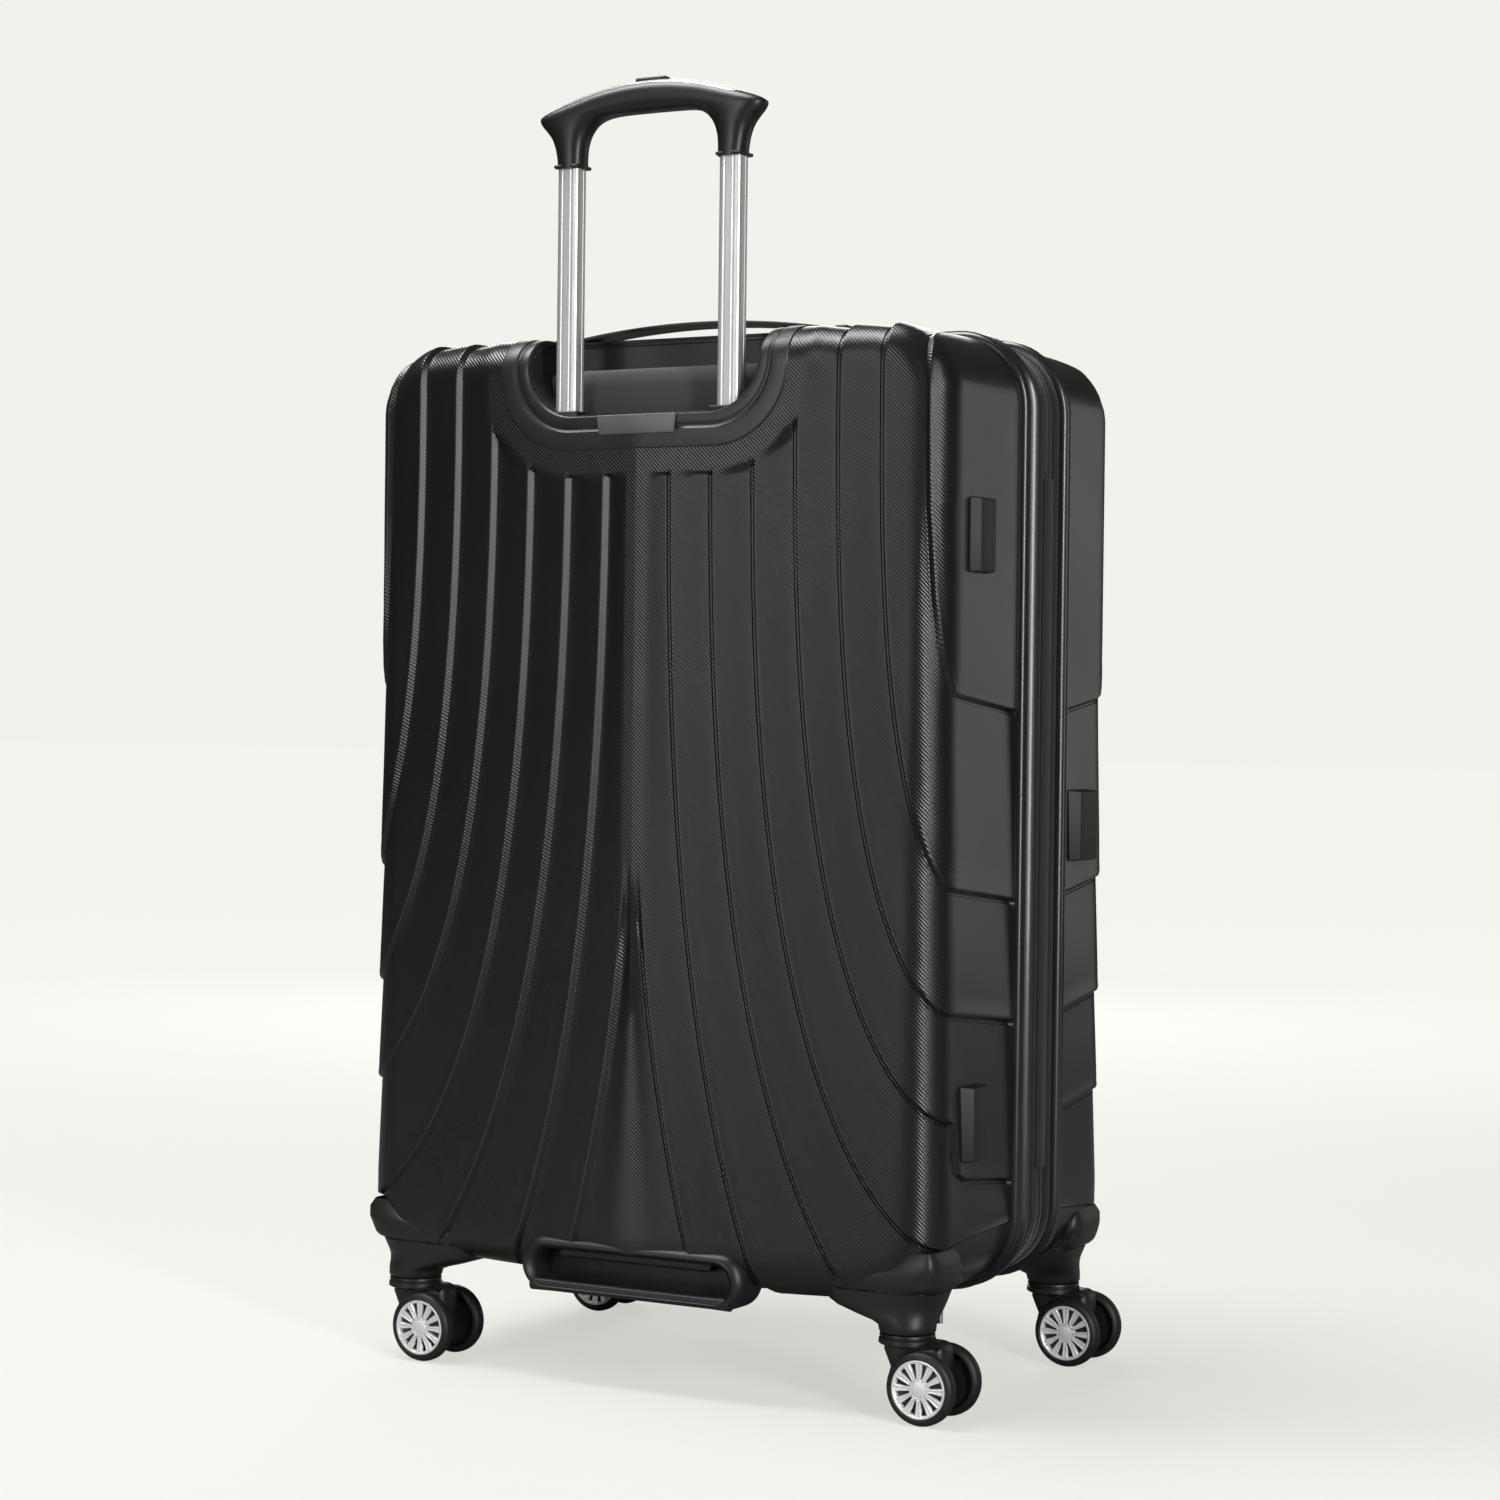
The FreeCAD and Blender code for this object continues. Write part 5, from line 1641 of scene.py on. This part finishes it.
@dataclass(frozen=True)
class LidLock:
    """The combination lock on the lid's frame, its dials and release, and the zip pulls beside it."""

    dial_x: float = 258.6
    dial_y: float = -52.5
    dial_r: float = 4.85
    first_z: float = 402.0
    pitch: float = 9.0
    knurls: int = 40
    pin_at: Pair = (253.5, -34.0)
    tab_section: tuple[Pair, ...] = (
        (0.0, -0.7), (0.15, -0.85), (0.85, -0.85), (1.0, -0.7), (1.0, 0.7), (0.85, 0.85), (0.15, 0.85), (0.0, 0.7),
        (0.0, -0.7),
    )

    def build(self) -> None:
        """Makes the lock and the pulls."""
        plate = rounded_block((247.0, -63.8, 385.2), (254.6, -41.2, 449.8), 2.2)
        rails = [
            rounded_block((252.0, -63.8, 385.2), (259.8, -58.4, 449.8), 1.8),
            rounded_block((252.0, -46.6, 385.2), (259.8, -41.2, 449.8), 1.8),
            rounded_block((252.0, -60.0, 385.2), (259.8, -45.0, 396.6), 1.8),
            rounded_block((252.0, -60.0, 425.6), (259.8, -45.0, 431.0), 1.2),
            rounded_block((252.0, -60.0, 443.2), (259.8, -45.0, 449.8), 1.6),
        ]
        make_piece(merged([plate, *rails]), "lock_case", "lid", Slot.DARK_METAL, ["lock_body"])
        for number in range(3):
            self.build_dial(number)
        button = rounded_block((256.8, -57.2, 432.2), (262.4, -47.8, 441.8), 1.2, 4)
        make_piece(button, "lock_button_cap", "lock_button", Slot.BLACK_PLASTIC, ["lock_release"])
        self.build_pulls()

    def build_dial(self, number: int) -> None:
        """Makes one knurled dial.

        Args:
            number: which dial, from 0.
        """
        z = self.first_z + self.pitch * number
        profile = (
            (0.4, -2.4), (4.1, -2.4), (self.dial_r, -1.7), (self.dial_r, 1.7), (4.1, 2.4), (0.4, 2.4),
        )

        def place(i: int, j: int) -> Vector:
            """One point of the dial's skin."""
            radius, height = profile[j]
            if j in (2, 3) and i % 4 in (0, 1):
                radius -= 0.35
            angle = FULL_TURN * i / self.knurls
            return Vector((self.dial_x + radius * math.cos(angle), self.dial_y + radius * math.sin(angle), z + height))

        dial = surface(self.knurls, len(profile) - 1, place, closed=True)
        tag = number + 1
        make_piece(dial, f"lock_wheel_{tag}", f"dial_{tag}", Slot.BLACK_PLASTIC, [f"lock_dial_{tag}"], 30.0)

    def build_pulls(self) -> None:
        """Makes the two sliders and the tabs that hang from them."""
        sliders = []
        for tag, z in (("upper", 468.0), ("lower", 368.0)):
            sliders.append(rounded_block((248.0, -39.4, z - 5.9), (251.6, -28.6, z + 5.9), 1.5, 4))
            for y in (-39.4, -29.7):
                sliders.append(rounded_block((250.6, y, z - 1.9), (255.0, y + 1.1, z + 1.9), 0.4, 2))
            sliders.append(turned(((0.0, -5.4), (0.85, -5.4), (0.85, 5.4), (0.0, 5.4)), "Y", (*self.pin_at, z), 14))
            self.build_pull(tag, z)
        make_piece(merged(sliders), "zip_slider_pair", "lid", Slot.DARK_METAL, ["zip_sliders"])

    def build_pull(self, tag: str, z: float) -> None:
        """Makes one hanging tab with a rounded end.

        Args:
            tag: which pull it is.
            z: the height of its pin.
        """
        edge, hole = Outline(3.9, z - 31.8, z - 3.0, 2.4), Outline(1.9, z - 29.0, z - 6.0, 1.2)
        rim = loft(edge, hole, self.tab_section, 5)
        moved(rim, Matrix.Translation((*self.pin_at, 0)) @ Matrix.Rotation(math.pi / 2, 4, "Z"))
        web = rounded_block((253.1, -36.0, z - 29.4), (253.9, -32.0, z - 5.8), 0.2, 1)
        neck = rounded_block((252.8, -35.8, z - 4.4), (254.2, -32.2, z + 0.4), 0.5, 2)
        eye = turned(((1.0, -3.9), (1.65, -3.7), (1.65, 3.7), (1.0, 3.9)), "Y", (*self.pin_at, z), 16)
        tab = merged([rim, web, neck, eye])
        make_piece(tab, f"zip_tab_{tag}", f"pull_{tag}", Slot.DARK_METAL, [f"zip_pull_{tag}"])


# ------------------------------------------------------------------ casters

@dataclass(frozen=True)
class Caster:
    """One twin-wheel caster: a fork with a hood, its axle and two wheels with bright hub caps."""

    tag: str
    side_x: int
    side_y: int
    swivel: Pair = (214.9, 126.5)
    trail: float = 21.9
    wheel_r: float = 26.4
    hub_r: float = 21.2
    wheel_w: float = 12.0
    wheel_out: float = 27.0
    spokes: int = 12
    core_flatness: float = 0.42
    hood_wall: float = 1.5
    rim_line: tuple[Pair, ...] = (
        (20.9, 5.0), (21.1, 1.0), (20.8, 0.25), (20.0, 0.1), (19.5, 0.5), (18.6, 1.4), (18.4, 5.0), (20.9, 5.0),
    )
    cap_line: tuple[Pair, ...] = (
        (0.0, 0.05), (3.4, 0.1), (5.3, 0.5), (5.6, 0.9), (6.4, 0.6), (7.3, 0.9), (7.7, 1.8), (7.7, 5.0), (0.0, 5.0),
    )
    core_line: tuple[Pair, ...] = (
        (3.2, -4.4), (8.0, -4.2), (20.4, -3.4), (20.8, -2.8), (20.8, 2.8), (20.4, 3.4), (8.0, 4.2), (3.2, 4.4),
    )
    neck_line: tuple[Pair, ...] = (
        (0.0, 61.6), (18.6, 61.6), (19.9, 61.0), (20.2, 59.6), (19.4, 58.8), (19.4, 58.0), (20.6, 57.4),
        (20.8, 54.2), (19.6, 53.4), (0.0, 53.4),
    )
    stem_line: tuple[Pair, ...] = ((0.0, 60.0), (5.9, 60.0), (5.9, 74.6), (5.2, 75.0), (0.0, 75.0))
    boss_line: tuple[Pair, ...] = ((0.0, -14.4), (6.0, -14.4), (6.6, -13.6), (6.6, 13.6), (6.0, 14.4), (0.0, 14.4))
    pin_line: tuple[Pair, ...] = ((0.0, -26.4), (2.8, -26.4), (2.9, -26.0), (2.9, 26.0), (2.8, 26.4), (0.0, 26.4))

    @property
    def axle(self) -> Vector:
        """The middle of the axle."""
        return Vector((self.swivel[0] * self.side_x - self.trail, self.swivel[1] * self.side_y, self.wheel_r))

    def build(self) -> None:
        """Makes the caster."""
        body = f"caster_{self.tag}"
        self.build_fork(f"{body}_swivel")
        for letter, node, facing in (("a", "tyre_outer", self.side_y), ("b", "wheel_inner", -self.side_y)):
            wheel = f"{body}_wheel_{letter}"
            y = self.axle.y + (self.wheel_out - self.wheel_w / 2) * facing
            make_piece(self.tyre(y), f"{wheel}_tyre", wheel, Slot.TYRE, [f"{body}_{node}"], 40.0)
            behind = [f"{body}_hub_outer"] if letter == "a" else []
            make_piece(self.hub(y, facing), f"{wheel}_cap", wheel, Slot.SILVER_HUB, behind, 35.0)
            make_piece(self.backing(y), f"{wheel}_core", wheel, Slot.BLACK_WHEEL)

    def tyre(self, y: float) -> BMesh:
        """A tyre with a crowned tread and a raised inner lip on each face.

        Args:
            y: the middle of its width.

        Returns:
            The mesh.
        """
        half, r, hub = self.wheel_w / 2, self.wheel_r, self.hub_r
        profile = (
            (hub - 0.4, -half + 1.6), (hub + 0.1, -half + 0.5), (hub + 0.9, -half + 0.1), (r - 4.2, -half + 0.05),
            (r - 2.0, -half + 0.7), (r - 0.7, -half + 2.2), (r - 0.08, -2.0), (r, 0.0), (r - 0.08, 2.0),
            (r - 0.7, half - 2.2), (r - 2.0, half - 0.7), (r - 4.2, half - 0.05), (hub + 0.9, half - 0.1),
            (hub + 0.1, half - 0.5), (hub - 0.4, half - 1.6), (hub - 0.4, -half + 1.6),
        )
        return turned(profile, "Y", (self.axle.x, y, self.axle.z), 56)

    def hub(self, y: float, facing: int) -> BMesh:
        """The hub's rim, its spokes and its cap.

        Args:
            y: the middle of the wheel's width.
            facing: the way that its face points along Y.

        Returns:
            The mesh.
        """
        face = self.wheel_w / 2
        centre = (0.0, 0.0, 0.0)
        parts = [
            turned([(radius, face - down) for radius, down in line], "Y", centre, steps)
            for line, steps in ((self.rim_line, 56), (self.cap_line, 40))
        ]
        parts += [self.spoke(face, FULL_TURN * k / self.spokes) for k in range(self.spokes)]
        flip = Matrix.Diagonal((1, facing, 1, 1))
        return moved(merged(parts), Matrix.Translation((self.axle.x, y, self.axle.z)) @ flip)

    def spoke(self, face: float, angle: float) -> BMesh:
        """One spoke with a valley along its middle.

        Args:
            face: where the hub's face is along Y.
            angle: the way that it points.

        Returns:
            The mesh.
        """
        section = ((-1.0, -3.6), (-1.0, -1.0), (-0.72, -0.35), (0.0, -0.85), (0.72, -0.35), (1.0, -1.0), (1.0, -3.6))
        reaches = (7.0, 10.0, 14.5, 19.2)
        half_w = (1.2, 1.55, 2.05, 2.6)

        def place(i: int, j: int) -> Vector:
            """One point of the spoke."""
            across, up = section[j]
            drop = 0.45 * math.sin(math.pi * i / (len(reaches) - 1))
            return Vector((across * half_w[i], face + up - drop, reaches[i]))

        bm = surface(len(reaches) - 1, len(section) - 1, place)
        bmesh.ops.contextual_create(bm, geom=[edge for edge in bm.edges if edge.is_boundary])
        face_towards(bm, (0, 1, 0))
        return moved(bm, Matrix.Rotation(angle, 4, "Y"))

    def backing(self, y: float) -> BMesh:
        """The dark disc behind the spokes.

        Args:
            y: the middle of the wheel's width.

        Returns:
            The mesh.
        """
        profile = [(radius, height * self.core_flatness) for radius, height in self.core_line]
        return turned(profile, "Y", (self.axle.x, y, self.axle.z), 48)

    def build_fork(self, body: str) -> None:
        """Makes the swivelling fork.

        Args:
            body: the body that it rides on.
        """
        x, y = self.swivel[0] * self.side_x, self.swivel[1] * self.side_y
        tag = f"caster_{self.tag}"
        neck = turned(self.neck_line, "Z", (x, y, 0), 56)
        stem = turned(self.stem_line, "Z", (x, y, 0), 24)
        web = rounded_block((self.axle.x - 11.8, y - 12.6, 16.0), (x + 15.5, y + 12.6, 57.6), 8.0, 5)
        for vert in web.verts:
            low = min(1.0, max(0.0, (52.0 - vert.co.z) / 32.0))
            if vert.co.x > self.axle.x:
                vert.co.x -= low * low * 15.0
        boss = turned(self.boss_line, "Y", self.axle, 28)
        yoke = merged([neck, stem, web, self.hood(y), boss])
        make_piece(yoke, f"{tag}_yoke", body, Slot.BLACK_PLASTIC, [f"{tag}_fork"], 38.0)
        make_piece(turned(self.pin_line, "Y", self.axle, 20), f"{tag}_pin", body, Slot.STEEL, [f"{tag}_axle"])

    def hood(self, y: float) -> BMesh:
        """The curved hood over the wheels, on the neck's side.

        Args:
            y: the swivel's Y.

        Returns:
            The mesh.
        """
        steps, across = 16, 10

        def place(i: int, j: int) -> Vector:
            """One point of the hood's outer skin."""
            angle = math.radians(8 + 100 * i / steps)
            part = -1 + 2 * j / across
            half = 13.0 + 6.6 * math.sin(math.radians(180) * min(1.0, i / steps + 0.12)) ** 0.8
            radius = 28.6 + 1.4 * (1 - abs(part) ** 3)
            out, up = radius * math.cos(angle), radius * math.sin(angle)
            return Vector((self.axle.x + out, y + half * part, self.axle.z + up))

        bm = surface(steps, across, place)
        bm.normal_update()
        if sum((f.calc_center_median() - self.axle).dot(f.normal) for f in bm.faces) < 0:
            bmesh.ops.reverse_faces(bm, faces=bm.faces)
        thicken(bm, self.hood_wall)
        return bm


@dataclass(frozen=True)
class CornerMouldings:
    """The two corner mouldings under one shell that hold its casters."""

    name: str
    body: str
    node: str
    side_y: int
    levels: tuple[tuple[float, float, float, float, float, float], ...] = (
        (62.2, 196.6, 233.2, 108.2, 144.8, 1.0), (62.2, 194.9, 234.9, 106.5, 146.5, 1.0),
        (63.0, 194.3, 235.5, 105.9, 147.1, 1.0), (67.0, 193.4, 235.7, 105.2, 147.2, 1.0),
        (70.0, 187.0, 235.9, 102.6, 147.3, 0.96), (73.5, 173.0, 236.2, 97.0, 147.4, 0.88),
        (78.0, 158.0, 236.7, 91.0, 147.6, 0.78), (82.0, 152.0, 237.4, 89.0, 147.8, 0.70),
        (87.0, 152.0, 238.8, 89.0, 148.2, 0.62), (91.0, 152.0, 240.0, 89.0, 148.5, 0.57),
        (91.3, 153.0, 238.8, 90.0, 147.4, 0.57), (92.3, 153.0, 238.8, 90.0, 147.4, 0.57),
        (92.8, 152.0, 243.0, 89.0, 149.6, 0.53), (95.5, 152.0, 245.6, 89.0, 150.8, 0.50),
        (99.5, 152.0, 247.0, 89.0, 151.3, 0.47), (103.5, 160.0, 247.4, 96.0, 151.4, 0.45),
        (108.0, 206.0, 247.4, 96.0, 151.3, 0.45), (116.0, 217.0, 246.8, 100.0, 150.4, 0.45),
        (122.0, 224.0, 243.0, 104.0, 147.0, 0.45),
    )

    def build(self) -> None:
        """Makes the mouldings."""
        both = merged([self.moulding(side) for side in SIDES])
        make_piece(both, self.name, self.body, Slot.BLACK_PLASTIC, [self.node], 45.0)

    def moulding(self, side_x: int) -> BMesh:
        """One moulding, which grows from a round neck into the case's corner.

        Args:
            side_x: the side that it is on.

        Returns:
            The mesh.
        """
        around = 48

        def place(i: int, j: int) -> Vector:
            """One point of the moulding."""
            z, x0, x1, y0, y1, roundness = self.levels[j]
            c, s = math.cos(FULL_TURN * i / around), math.sin(FULL_TURN * i / around)
            x = (x0 + x1) / 2 + (x1 - x0) / 2 * math.copysign(abs(c) ** roundness, c)
            y = (y0 + y1) / 2 + (y1 - y0) / 2 * math.copysign(abs(s) ** roundness, s)
            return Vector((x * side_x, y * self.side_y, z))

        return surface(around, len(self.levels) - 1, place, closed=True)


# ------------------------------------------------------------------ the inside

@dataclass(frozen=True)
class Lining:
    """A cloth-lined tray inside one shell, with a bound edge."""

    name: str
    body: str
    node: str
    mouth_y: float
    far_y: float
    flange: float
    half_w: float = 221.6
    span: Pair = (106.4, 761.6)
    corner: float = 40.0
    cloth: float = 0.9

    def build(self) -> None:
        """Makes the lining."""
        outline = Outline(self.half_w, self.span[0], self.span[1], self.corner)
        side = 1 if self.far_y > self.mouth_y else -1
        stations = outline.stations(80.0, 12)
        levels = [
            (-self.flange, self.mouth_y), (-1.0, self.mouth_y), (0.0, self.mouth_y + side),
            (0.0, self.mouth_y + 4 * side), (0.6, self.mouth_y + 5 * side), (0.0, self.mouth_y + 6 * side),
            (0.0, self.far_y - 16 * side), (1.6, self.far_y - 9 * side), (6.0, self.far_y - 3 * side),
            (14.0, self.far_y - 0.2 * side), (40.0, self.far_y),
        ]

        def place(i: int, j: int) -> Vector:
            """One point of the tray."""
            at, out = stations[i]
            inset, y = levels[j]
            return at - out * min(inset, 38.0) + Vector((0, y, 0))

        tray = surface(len(stations) - 1, len(levels) - 1, place, closed=True)
        floor = [e for e in tray.edges if e.is_boundary and abs(e.verts[0].co.y - self.far_y) < 0.01]
        bmesh.ops.contextual_create(tray, geom=floor)
        thicken(tray, self.cloth)
        parts = [tray]
        if side > 0:  # the cover over the handle's recess
            parts += [
                rounded_block((-107.5, 92.0, 718.5), (107.5, 94.2, 761.0), 1.0, 2),
                rounded_block((-107.5, 92.0, 718.5), (107.5, 130.0, 720.4), 0.9, 2),
                rounded_block((-107.5, 92.0, 718.5), (-105.5, 130.0, 761.0), 0.9, 2),
                rounded_block((105.5, 92.0, 718.5), (107.5, 130.0, 761.0), 0.9, 2),
            ]
        make_piece(merged(parts), self.name, self.body, Slot.LINING, [self.node], 45.0)


@dataclass(frozen=True)
class PackingStraps:
    """Two webbing straps across the back lining, each with a side-release buckle."""

    heights: Pair = (300.0, 560.0)
    floor_y: float = 128.5
    half_l: float = 218.0
    section: tuple[Pair, ...] = (
        (-15.0, 0.4), (-14.4, 1.6), (-12.4, 1.6), (-12.0, 1.3), (12.0, 1.3), (12.4, 1.6), (14.4, 1.6), (15.0, 0.4),
        (-15.0, 0.4),
    )

    def build(self) -> None:
        """Makes the straps."""
        webs, buckles = [], []
        for z in self.heights:
            webs.append(self.web(z))
            y = self.floor_y
            buckles.append(rounded_block((-27.6, y - 7.6, z - 19.0), (6.0, y - 1.6, z + 19.0), 2.4, 3))
            buckles.append(rounded_block((8.0, y - 7.6, z - 17.0), (27.6, y - 1.6, z + 17.0), 2.4, 3))
            buckles.append(rounded_block((2.0, y - 6.4, z - 10.0), (12.0, y - 2.4, z + 10.0), 1.0, 2))
        make_piece(merged(webs), "packing_webs", "case_back", Slot.WEBBING, ["packing_straps"])
        make_piece(merged(buckles), "packing_buckles", "case_back", Slot.BLACK_PLASTIC)

    def web(self, z: float) -> BMesh:
        """One strap with thicker selvedges.

        Args:
            z: its middle height.

        Returns:
            The mesh.
        """
        columns = 24

        def place(i: int, j: int) -> Vector:
            """One point of the strap."""
            across, up = self.section[j]
            return Vector((-self.half_l + 2 * self.half_l * i / columns, self.floor_y - up, z + across))

        return surface(columns, len(self.section) - 1, place, closed=True)


# ------------------------------------------------------------------ camera and light

@dataclass(frozen=True)
class SoftLight:
    """One rectangular light, in metres and watts."""

    name: str
    at: Triple
    aim: Triple
    size: Pair
    power: float

    def hang(self) -> None:
        """Puts the light in its place and turns it to its aim."""
        data = bpy.data.lights.new(self.name, "AREA")
        data.shape = "RECTANGLE"
        data.size, data.size_y = self.size
        data.energy = self.power
        light = bpy.data.objects.new(self.name, data)
        light.location = self.at
        light.rotation_euler = (Vector(self.aim) - Vector(self.at)).to_track_quat("-Z", "Y").to_euler()
        bpy.context.scene.collection.objects.link(light)


@dataclass(frozen=True)
class Studio:
    """The pale room, its lights and the camera, in metres."""

    LIGHTS = (
        SoftLight("softbox_back", (0.75, 3.35, 1.3), (0.0, 0.15, 0.45), (0.7, 2.2), 30.0),
        SoftLight("softbox_top", (0.70, 0.30, 2.6), (0.0, 0.1, 0.6), (1.0, 1.4), 60.0),
        SoftLight("strip_right", (-2.3, 1.5, 1.1), (-0.1, 0.1, 0.5), (0.3, 2.0), 52.0),
        SoftLight("panel_side", (-1.7, -3.0, 0.9), (-0.2, 0.0, 0.5), (1.2, 1.6), 5.0),
        SoftLight("fill_front", (1.5, -2.6, 1.7), (0.0, 0.0, 0.4), (1.4, 1.6), 34.0),
    )

    eye: Triple = (-1.2698, 2.225, 0.5045)
    azimuth_deg: float = 29.564
    pitch_deg: float = 0.677
    roll_deg: float = 0.683
    lens: float = 78.756
    sensor: float = 36.0
    pale: Triple = (0.887, 0.887, 0.839)
    lit_strength: float = 0.07
    floor_tone: float = 0.32
    glow: Pair = (0.66, 0.99)
    glow_span: Pair = (0.6, 4.5)
    floor_half: float = 30.0

    def build(self) -> None:
        """Sets up the camera, the lights, the floor and the surroundings."""
        bpy.context.scene.view_settings.view_transform = "Standard"
        self.build_camera()
        self.build_world()
        self.build_floor()
        for light in self.LIGHTS:
            light.hang()

    def build_camera(self) -> None:
        """Places the camera."""
        turn, tilt, roll = (math.radians(a) for a in (self.azimuth_deg, self.pitch_deg, self.roll_deg))
        forward = Vector((math.sin(turn) * math.cos(tilt), -math.cos(turn) * math.cos(tilt), -math.sin(tilt)))
        level = Vector((-math.cos(turn), -math.sin(turn), 0.0))
        upright = level.cross(forward)
        right = level * math.cos(roll) + upright * math.sin(roll)
        up = upright * math.cos(roll) - level * math.sin(roll)
        data = bpy.data.cameras.new("camera")
        data.lens = self.lens
        data.sensor_width = self.sensor
        data.clip_end = 60.0
        camera = bpy.data.objects.new("camera", data)
        camera.matrix_world = Matrix.Translation(self.eye) @ Matrix((right, up, -forward)).transposed().to_4x4()
        bpy.context.scene.collection.objects.link(camera)
        bpy.context.scene.camera = camera

    def build_world(self) -> None:
        """Gives the surroundings a pale, even tone."""
        world = bpy.data.worlds.new("studio")
        bpy.context.scene.world = world
        world.use_nodes = True
        tree = world.node_tree
        lit = tree.nodes["Background"]
        lit.inputs["Color"].default_value = (*self.pale, 1.0)
        lit.inputs["Strength"].default_value = self.lit_strength
        seen = tree.nodes.new("ShaderNodeBackground")
        seen.inputs["Color"].default_value = (*self.pale, 1.0)
        seen.inputs["Strength"].default_value = 1.0
        path = tree.nodes.new("ShaderNodeLightPath")
        blend = tree.nodes.new("ShaderNodeMixShader")
        tree.links.new(path.outputs["Is Camera Ray"], blend.inputs[0])
        tree.links.new(lit.outputs[0], blend.inputs[1])
        tree.links.new(seen.outputs[0], blend.inputs[2])
        tree.links.new(blend.outputs[0], tree.nodes["World Output"].inputs["Surface"])

    def build_floor(self) -> None:
        """Lays the floor."""
        bm = bmesh.new()
        bmesh.ops.create_grid(bm, x_segments=1, y_segments=1, size=self.floor_half)
        mesh = bpy.data.meshes.new("floor")
        bm.to_mesh(mesh)
        bm.free()
        w = Wiring("pale_floor")
        far = w.add("VectorMath", {0: w.place()}, operation="LENGTH").outputs["Value"]
        ends = {1: self.glow_span[0], 2: self.glow_span[1], 3: self.glow[0], 4: self.glow[1]}
        glow = w.add("MapRange", {0: far, **ends}, interpolation_type="SMOOTHSTEP").outputs[0]
        seen = w.add("LightPath").outputs["Is Camera Ray"]
        w.drive(
            Base_Color=(*tint(self.pale, self.floor_tone), 1.0), Roughness=0.9, Specular_IOR_Level=0.0,
            Emission_Color=(*self.pale, 1.0), Emission_Strength=w.number("MULTIPLY", seen, glow),
        )
        mesh.materials.append(w.material)
        floor = bpy.data.objects.new("floor", mesh)
        bpy.context.scene.collection.objects.link(floor)


CASTERS = (("back_left", -1, 1), ("back_right", 1, 1), ("front_left", -1, -1), ("front_right", 1, -1))


def main() -> None:
    """Builds every piece of the case, in order."""
    logging.basicConfig(level=logging.INFO, format="%(message)s", stream=sys.stdout)
    Studio().build()
    PALETTE.dress_frame()
    ShellHalf("ribbed_back_shell", "case_back", "back_shell", 1, 18.0, collar=True).build()
    ShellHalf("ribbed_front_shell", "lid", "front_shell", -1, 54.0).build()
    HandleRecess().build()
    TrolleyHandle().build()
    Middle().build()
    BottomGrip().build()
    SideFeet().build()
    CarryHandle("top", "top_handle", (0.0, 60.0, 785.0), 0.0).build()
    CarryHandle("side", "side_handle", (248.0, 60.0, 432.0), 90.0).build()
    LidLock().build()
    CornerMouldings("back_corner_mouldings", "case_back", "caster_housings_back", 1).build()
    CornerMouldings("front_corner_mouldings", "lid", "caster_housings_front", -1).build()
    for tag, side_x, side_y in CASTERS:
        Caster(tag, side_x, side_y).build()
    Lining("back_lining_tray", "case_back", "back_lining", 31.0, 129.8, 10.2).build()
    Lining("front_lining_tray", "lid", "front_lining", -74.0, -139.8, 16.0).build()
    PackingStraps().build()


if __name__ == "__main__":
    main()
